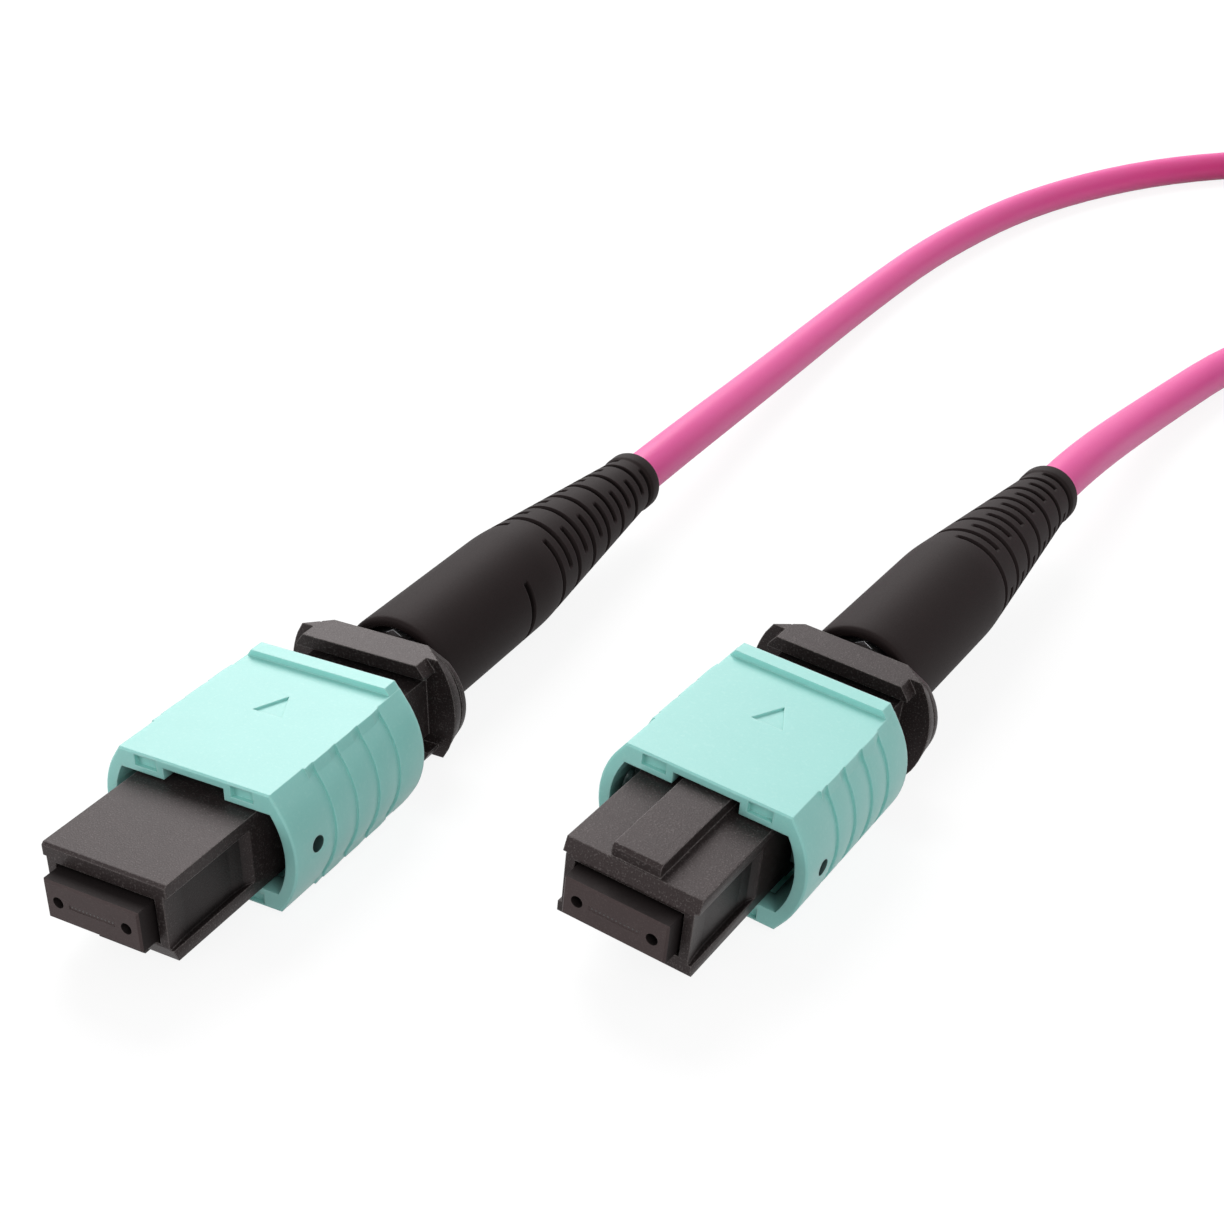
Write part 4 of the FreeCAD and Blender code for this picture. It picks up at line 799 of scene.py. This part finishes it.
def paint_shade_inside(material, colour):
    """Base colour drifts to a dark colour by the mask of the insides: painted shade."""
    tree = material.node_tree
    shader = shader_of(material)
    # the mask of painted shade, read from the mesh
    painted_shade_mask = add(tree, "ShaderNodeAttribute", {"attribute_name": "painted_shade"})
    painted_shade_amount = add(tree, "ShaderNodeMath", {"operation": "MULTIPLY"})
    painted_shade_amount.inputs[1].default_value = PAINTED_SHADE_SHARE
    dim = add(tree, "ShaderNodeMix", {"data_type": "RGBA"})
    dim.inputs["B"].default_value = colour
    link(tree, painted_shade_mask.outputs["Fac"], painted_shade_amount.inputs[0])
    link(tree, painted_shade_amount.outputs["Value"], dim.inputs["Factor"])
    link(tree, shader.inputs["Base Color"].links[0].from_socket, dim.inputs["A"])
    link(tree, dim.outputs["Result"], shader.inputs["Base Color"])


# the dark colour of the painted shade in each finish
for material, colour in ((aqua, light(14, 30, 30)), (black, light(6, 5, 5)),
                         (ferrule_resin, light(6, 5, 5)), (rubber, light(4, 3, 3))):
    paint_shade_inside(material, colour)
print("insides shaded")

# %% [markdown]
# The jacket is extruded, so its marks run along the cord. On a lying cord those are too faint to follow
# one by one; a slow drift of colour and a fine satin grain are what the eye sees. Light goes a little way
# into the jacket and into the aqua plastic, which softens both.

# %% Jacket of the cord
SCATTER_DEPTH, JACKET_SPECULAR = 0.7, 0.35
jacket = moulded("magenta_jacket", base=light(232, 90, 162), deep=light(224, 78, 150),
                 pale=light(240, 140, 192), rough=0.45, bump=0.06, fleck_share=0.03, highlight_share=0.0,
                 scales=(9000.0, 160.0, 6000.0), edge_radius=0.02)
shader_of(jacket).inputs["Specular IOR Level"].default_value = JACKET_SPECULAR
for material, weight in ((aqua, 0.35), (jacket, 0.5)):
    shader = shader_of(material)
    shader.inputs["Subsurface Weight"].default_value = weight
    shader.inputs["Subsurface Radius"].default_value = (1.0, 1.0, 1.0)
    shader.inputs["Subsurface Scale"].default_value = SCATTER_DEPTH * MM
print("jacket ready:", jacket.name)

# %% [markdown]
# The strap is dark looped cloth with a soft sheen, so its grain is coarse and rough. The fibres are glass
# that looks dark where it ends in the resin, with a pale coating further in. Springs and crimp are bare
# metal. The same recipe serves them all.

# %% Strap, fibres and metal
STRAP_SHEEN = 0.4
strap_cloth = moulded("strap_loops", base=light(38, 38, 40), deep=light(16, 16, 18),
                      pale=light(70, 70, 74), rough=0.85, bump=1.0, fleck_share=0.3, highlight_share=0.2,
                      scales=(4500.0, 900.0, 7000.0), edge_radius=0.1)
glass = moulded("fibre_glass", base=light(62, 56, 56), deep=light(48, 44, 44),
                pale=light(100, 96, 96), rough=0.2, bump=0.02, fleck_share=0.0, highlight_share=0.0,
                scales=(20000.0, 4000.0, 9000.0), edge_radius=0.005)
bundle_coat = moulded("fibre_coating", base=light(205, 215, 210), deep=light(180, 196, 190),
                      pale=light(235, 240, 238), rough=0.3, bump=0.1, fleck_share=0.05, highlight_share=0.0,
                      scales=(9000.0, 900.0, 5000.0), edge_radius=0.03)
steel = moulded("spring_wire", base=light(175, 175, 178), deep=light(150, 150, 154),
                pale=light(215, 215, 218), rough=0.28, bump=0.1, fleck_share=0.1, highlight_share=0.3,
                scales=(12000.0, 800.0, 9000.0), edge_radius=0.02)
crimp = moulded("crimp_metal", base=light(200, 200, 203), deep=light(176, 176, 180),
                pale=light(230, 230, 232), rough=0.35, bump=0.2, fleck_share=0.1, highlight_share=0.4,
                scales=(9000.0, 700.0, 7000.0), edge_radius=0.05)
shader_of(strap_cloth).inputs["Sheen Weight"].default_value = STRAP_SHEEN
for material in (steel, crimp):
    shader_of(material).inputs["Metallic"].default_value = 1.0
print("other finishes:", [m.name for m in (strap_cloth, glass, bundle_coat, steel, crimp)])

# %% [markdown]
# Every piece now takes its finish. A solid that a rounded copy stands in for takes the same one as its
# copy, so that the two agree wherever the solid is shown by itself.

# %% Give every piece its finish


def wear(item, material):
    """The item takes this one finish in place of what it had."""
    item.data.materials.clear()
    item.data.materials.append(material)


FINISHES = {"inner_housing": black, "coupling_sleeve": aqua, "ferrule": ferrule_resin,
            "ferrule_boot": rubber, "pin_spacer": spacer_resin, "fibre_bundle": bundle_coat,
            "rear_body": black, "crimp_sleeve": crimp}
for side in PLUGS:
    for piece, material in FINISHES.items():
        wear(nodes[side + "_" + piece], material)
    for piece in EDGE_WIDTHS:
        wear(mouldings[side, piece], FINISHES[piece])
    wear(boots[side], rubber)
    wear(fibre_ends[side], glass)
for spring in springs:
    wear(spring, steel)
wear(cord, jacket)
wear(strap, strap_cloth)
new_pieces = [*mouldings.values(), *boots.values(), *fibre_ends.values(), *springs, cord, strap]
print("finishes on", len(new_pieces), "new pieces and", len(PLUGS) * len(FINISHES), "solids")

# %% [markdown]
# The object was photographed on white. The table is a plain pale floor that keeps the shadow: near the
# object a part of what the camera sees is its lit surface and the rest a steady white, so that shadows stay
# soft, and far out it is all white, so that it has no edge. Mirrored and refracted rays see the same, and
# the light that it throws back on the object is that of an ordinary pale table.

# %% Floor
WHITE = (1.0, 1.0, 1.0, 1.0)
FLOOR_HALF, FLOOR_DROP = 2.0, 0.02 * MM
FLOOR_TONE, FLOOR_GLOW = 0.46, 1.45
FADE_START, FADE_END, NEAR_SHARE = 0.25, 1.0, 0.6


def background_rays(tree):
    """1 for the rays that show the background: those of the camera, of mirrors and of glass."""
    rays = tree.nodes.new("ShaderNodeLightPath")
    direct = add(tree, "ShaderNodeMath", {"operation": "MAXIMUM"})
    every = add(tree, "ShaderNodeMath", {"operation": "MAXIMUM"})
    link(tree, rays.outputs["Is Camera Ray"], direct.inputs[0])
    link(tree, rays.outputs["Is Glossy Ray"], direct.inputs[1])
    link(tree, direct.outputs["Value"], every.inputs[0])
    link(tree, rays.outputs["Is Transmission Ray"], every.inputs[1])
    return every.outputs["Value"]


span = np.array([(-1, -1, 0), (1, -1, 0), (1, 1, 0), (-1, 1, 0)]) * FLOOR_HALF
floor_mesh = bpy.data.meshes.new("table")
floor_mesh.from_pydata(span.tolist(), [], [(0, 1, 2, 3)])
floor = bpy.data.objects.new("table", floor_mesh)
floor.location = (0, 0, -FLOOR_DROP)
bpy.context.scene.collection.objects.link(floor)
paper = bpy.data.materials.new("pale_table")
paper.use_nodes = True
tree = paper.node_tree
tree.nodes.clear()
out = tree.nodes.new("ShaderNodeOutputMaterial")
lit = add(tree, "ShaderNodeBsdfDiffuse", Color=(FLOOR_TONE, FLOOR_TONE, FLOOR_TONE, 1.0))
white = add(tree, "ShaderNodeEmission", Color=WHITE, Strength=FLOOR_GLOW)
place = tree.nodes.new("ShaderNodeTexCoord")
far = add(tree, "ShaderNodeVectorMath", {"operation": "LENGTH"})
fade = add(tree, "ShaderNodeMapRange", {"interpolation_type": "SMOOTHSTEP"},
           From_Min=FADE_START, From_Max=FADE_END, To_Min=NEAR_SHARE, To_Max=1.0)
share = add(tree, "ShaderNodeMath", {"operation": "MULTIPLY"})
blend = tree.nodes.new("ShaderNodeMixShader")
link(tree, place.outputs["Object"], far.inputs[0])
link(tree, far.outputs["Value"], fade.inputs["Value"])
link(tree, fade.outputs["Result"], share.inputs[1])
link(tree, background_rays(tree), share.inputs[0])
link(tree, share.outputs["Value"], blend.inputs["Fac"])
link(tree, lit.outputs["BSDF"], blend.inputs[1])
link(tree, white.outputs["Emission"], blend.inputs[2])
link(tree, blend.outputs["Shader"], out.inputs["Surface"])
wear(floor, paper)
print("floor ready")

# %% [markdown]
# One large soft lamp stands behind the object on the left, so that its tops carry a soft sheen and the
# shadow falls towards the viewer. A weak card on the right opens up the dark sides, and a low one in front
# on the left puts a glint on the noses of the housings. The rest is an even surround, seen as plain white.

# %% Light
SURROUND = 0.36
world = bpy.data.worlds.new("studio")
bpy.context.scene.world = world
world.use_nodes = True
sky = world.node_tree
sky.nodes.clear()
sky_out = sky.nodes.new("ShaderNodeOutputWorld")
sky_back = add(sky, "ShaderNodeBackground", Color=WHITE)
sky_level = add(sky, "ShaderNodeMapRange", To_Min=SURROUND, To_Max=1.0)
link(sky, background_rays(sky), sky_level.inputs["Value"])
link(sky, sky_level.outputs["Result"], sky_back.inputs["Strength"])
link(sky, sky_back.outputs["Background"], sky_out.inputs["Surface"])


def soft_lamp(name, place, size, energy):
    """A round area lamp aimed at the origin: tipped by its angle from the vertical, then turned."""
    lamp_data = bpy.data.lights.new(name, "AREA")
    lamp_data.shape = "DISK"
    lamp_data.size = size
    lamp_data.energy = energy
    lamp = bpy.data.objects.new(name, lamp_data)
    lamp.location = place
    tip = math.atan2(math.hypot(place[0], place[1]), place[2])
    lamp.rotation_euler = (tip, 0.0, math.atan2(place[1], place[0]) + math.pi / 2)
    bpy.context.scene.collection.objects.link(lamp)
    return lamp


lamps = [soft_lamp("soft_box", place=(-0.36, 0.40, 0.50), size=0.55, energy=4.5),
         soft_lamp("right_card", place=(0.45, -0.35, 0.35), size=0.40, energy=1.2),
         soft_lamp("front_card", place=(-0.42, -0.58, 0.16), size=0.40, energy=1.6)]
print("lamps:", [lamp.name for lamp in lamps])

# %% [markdown]
# Last, plain screen colours.

# %% Finish
bpy.context.scene.view_settings.view_transform = "Standard"
bpy.context.view_layer.update()
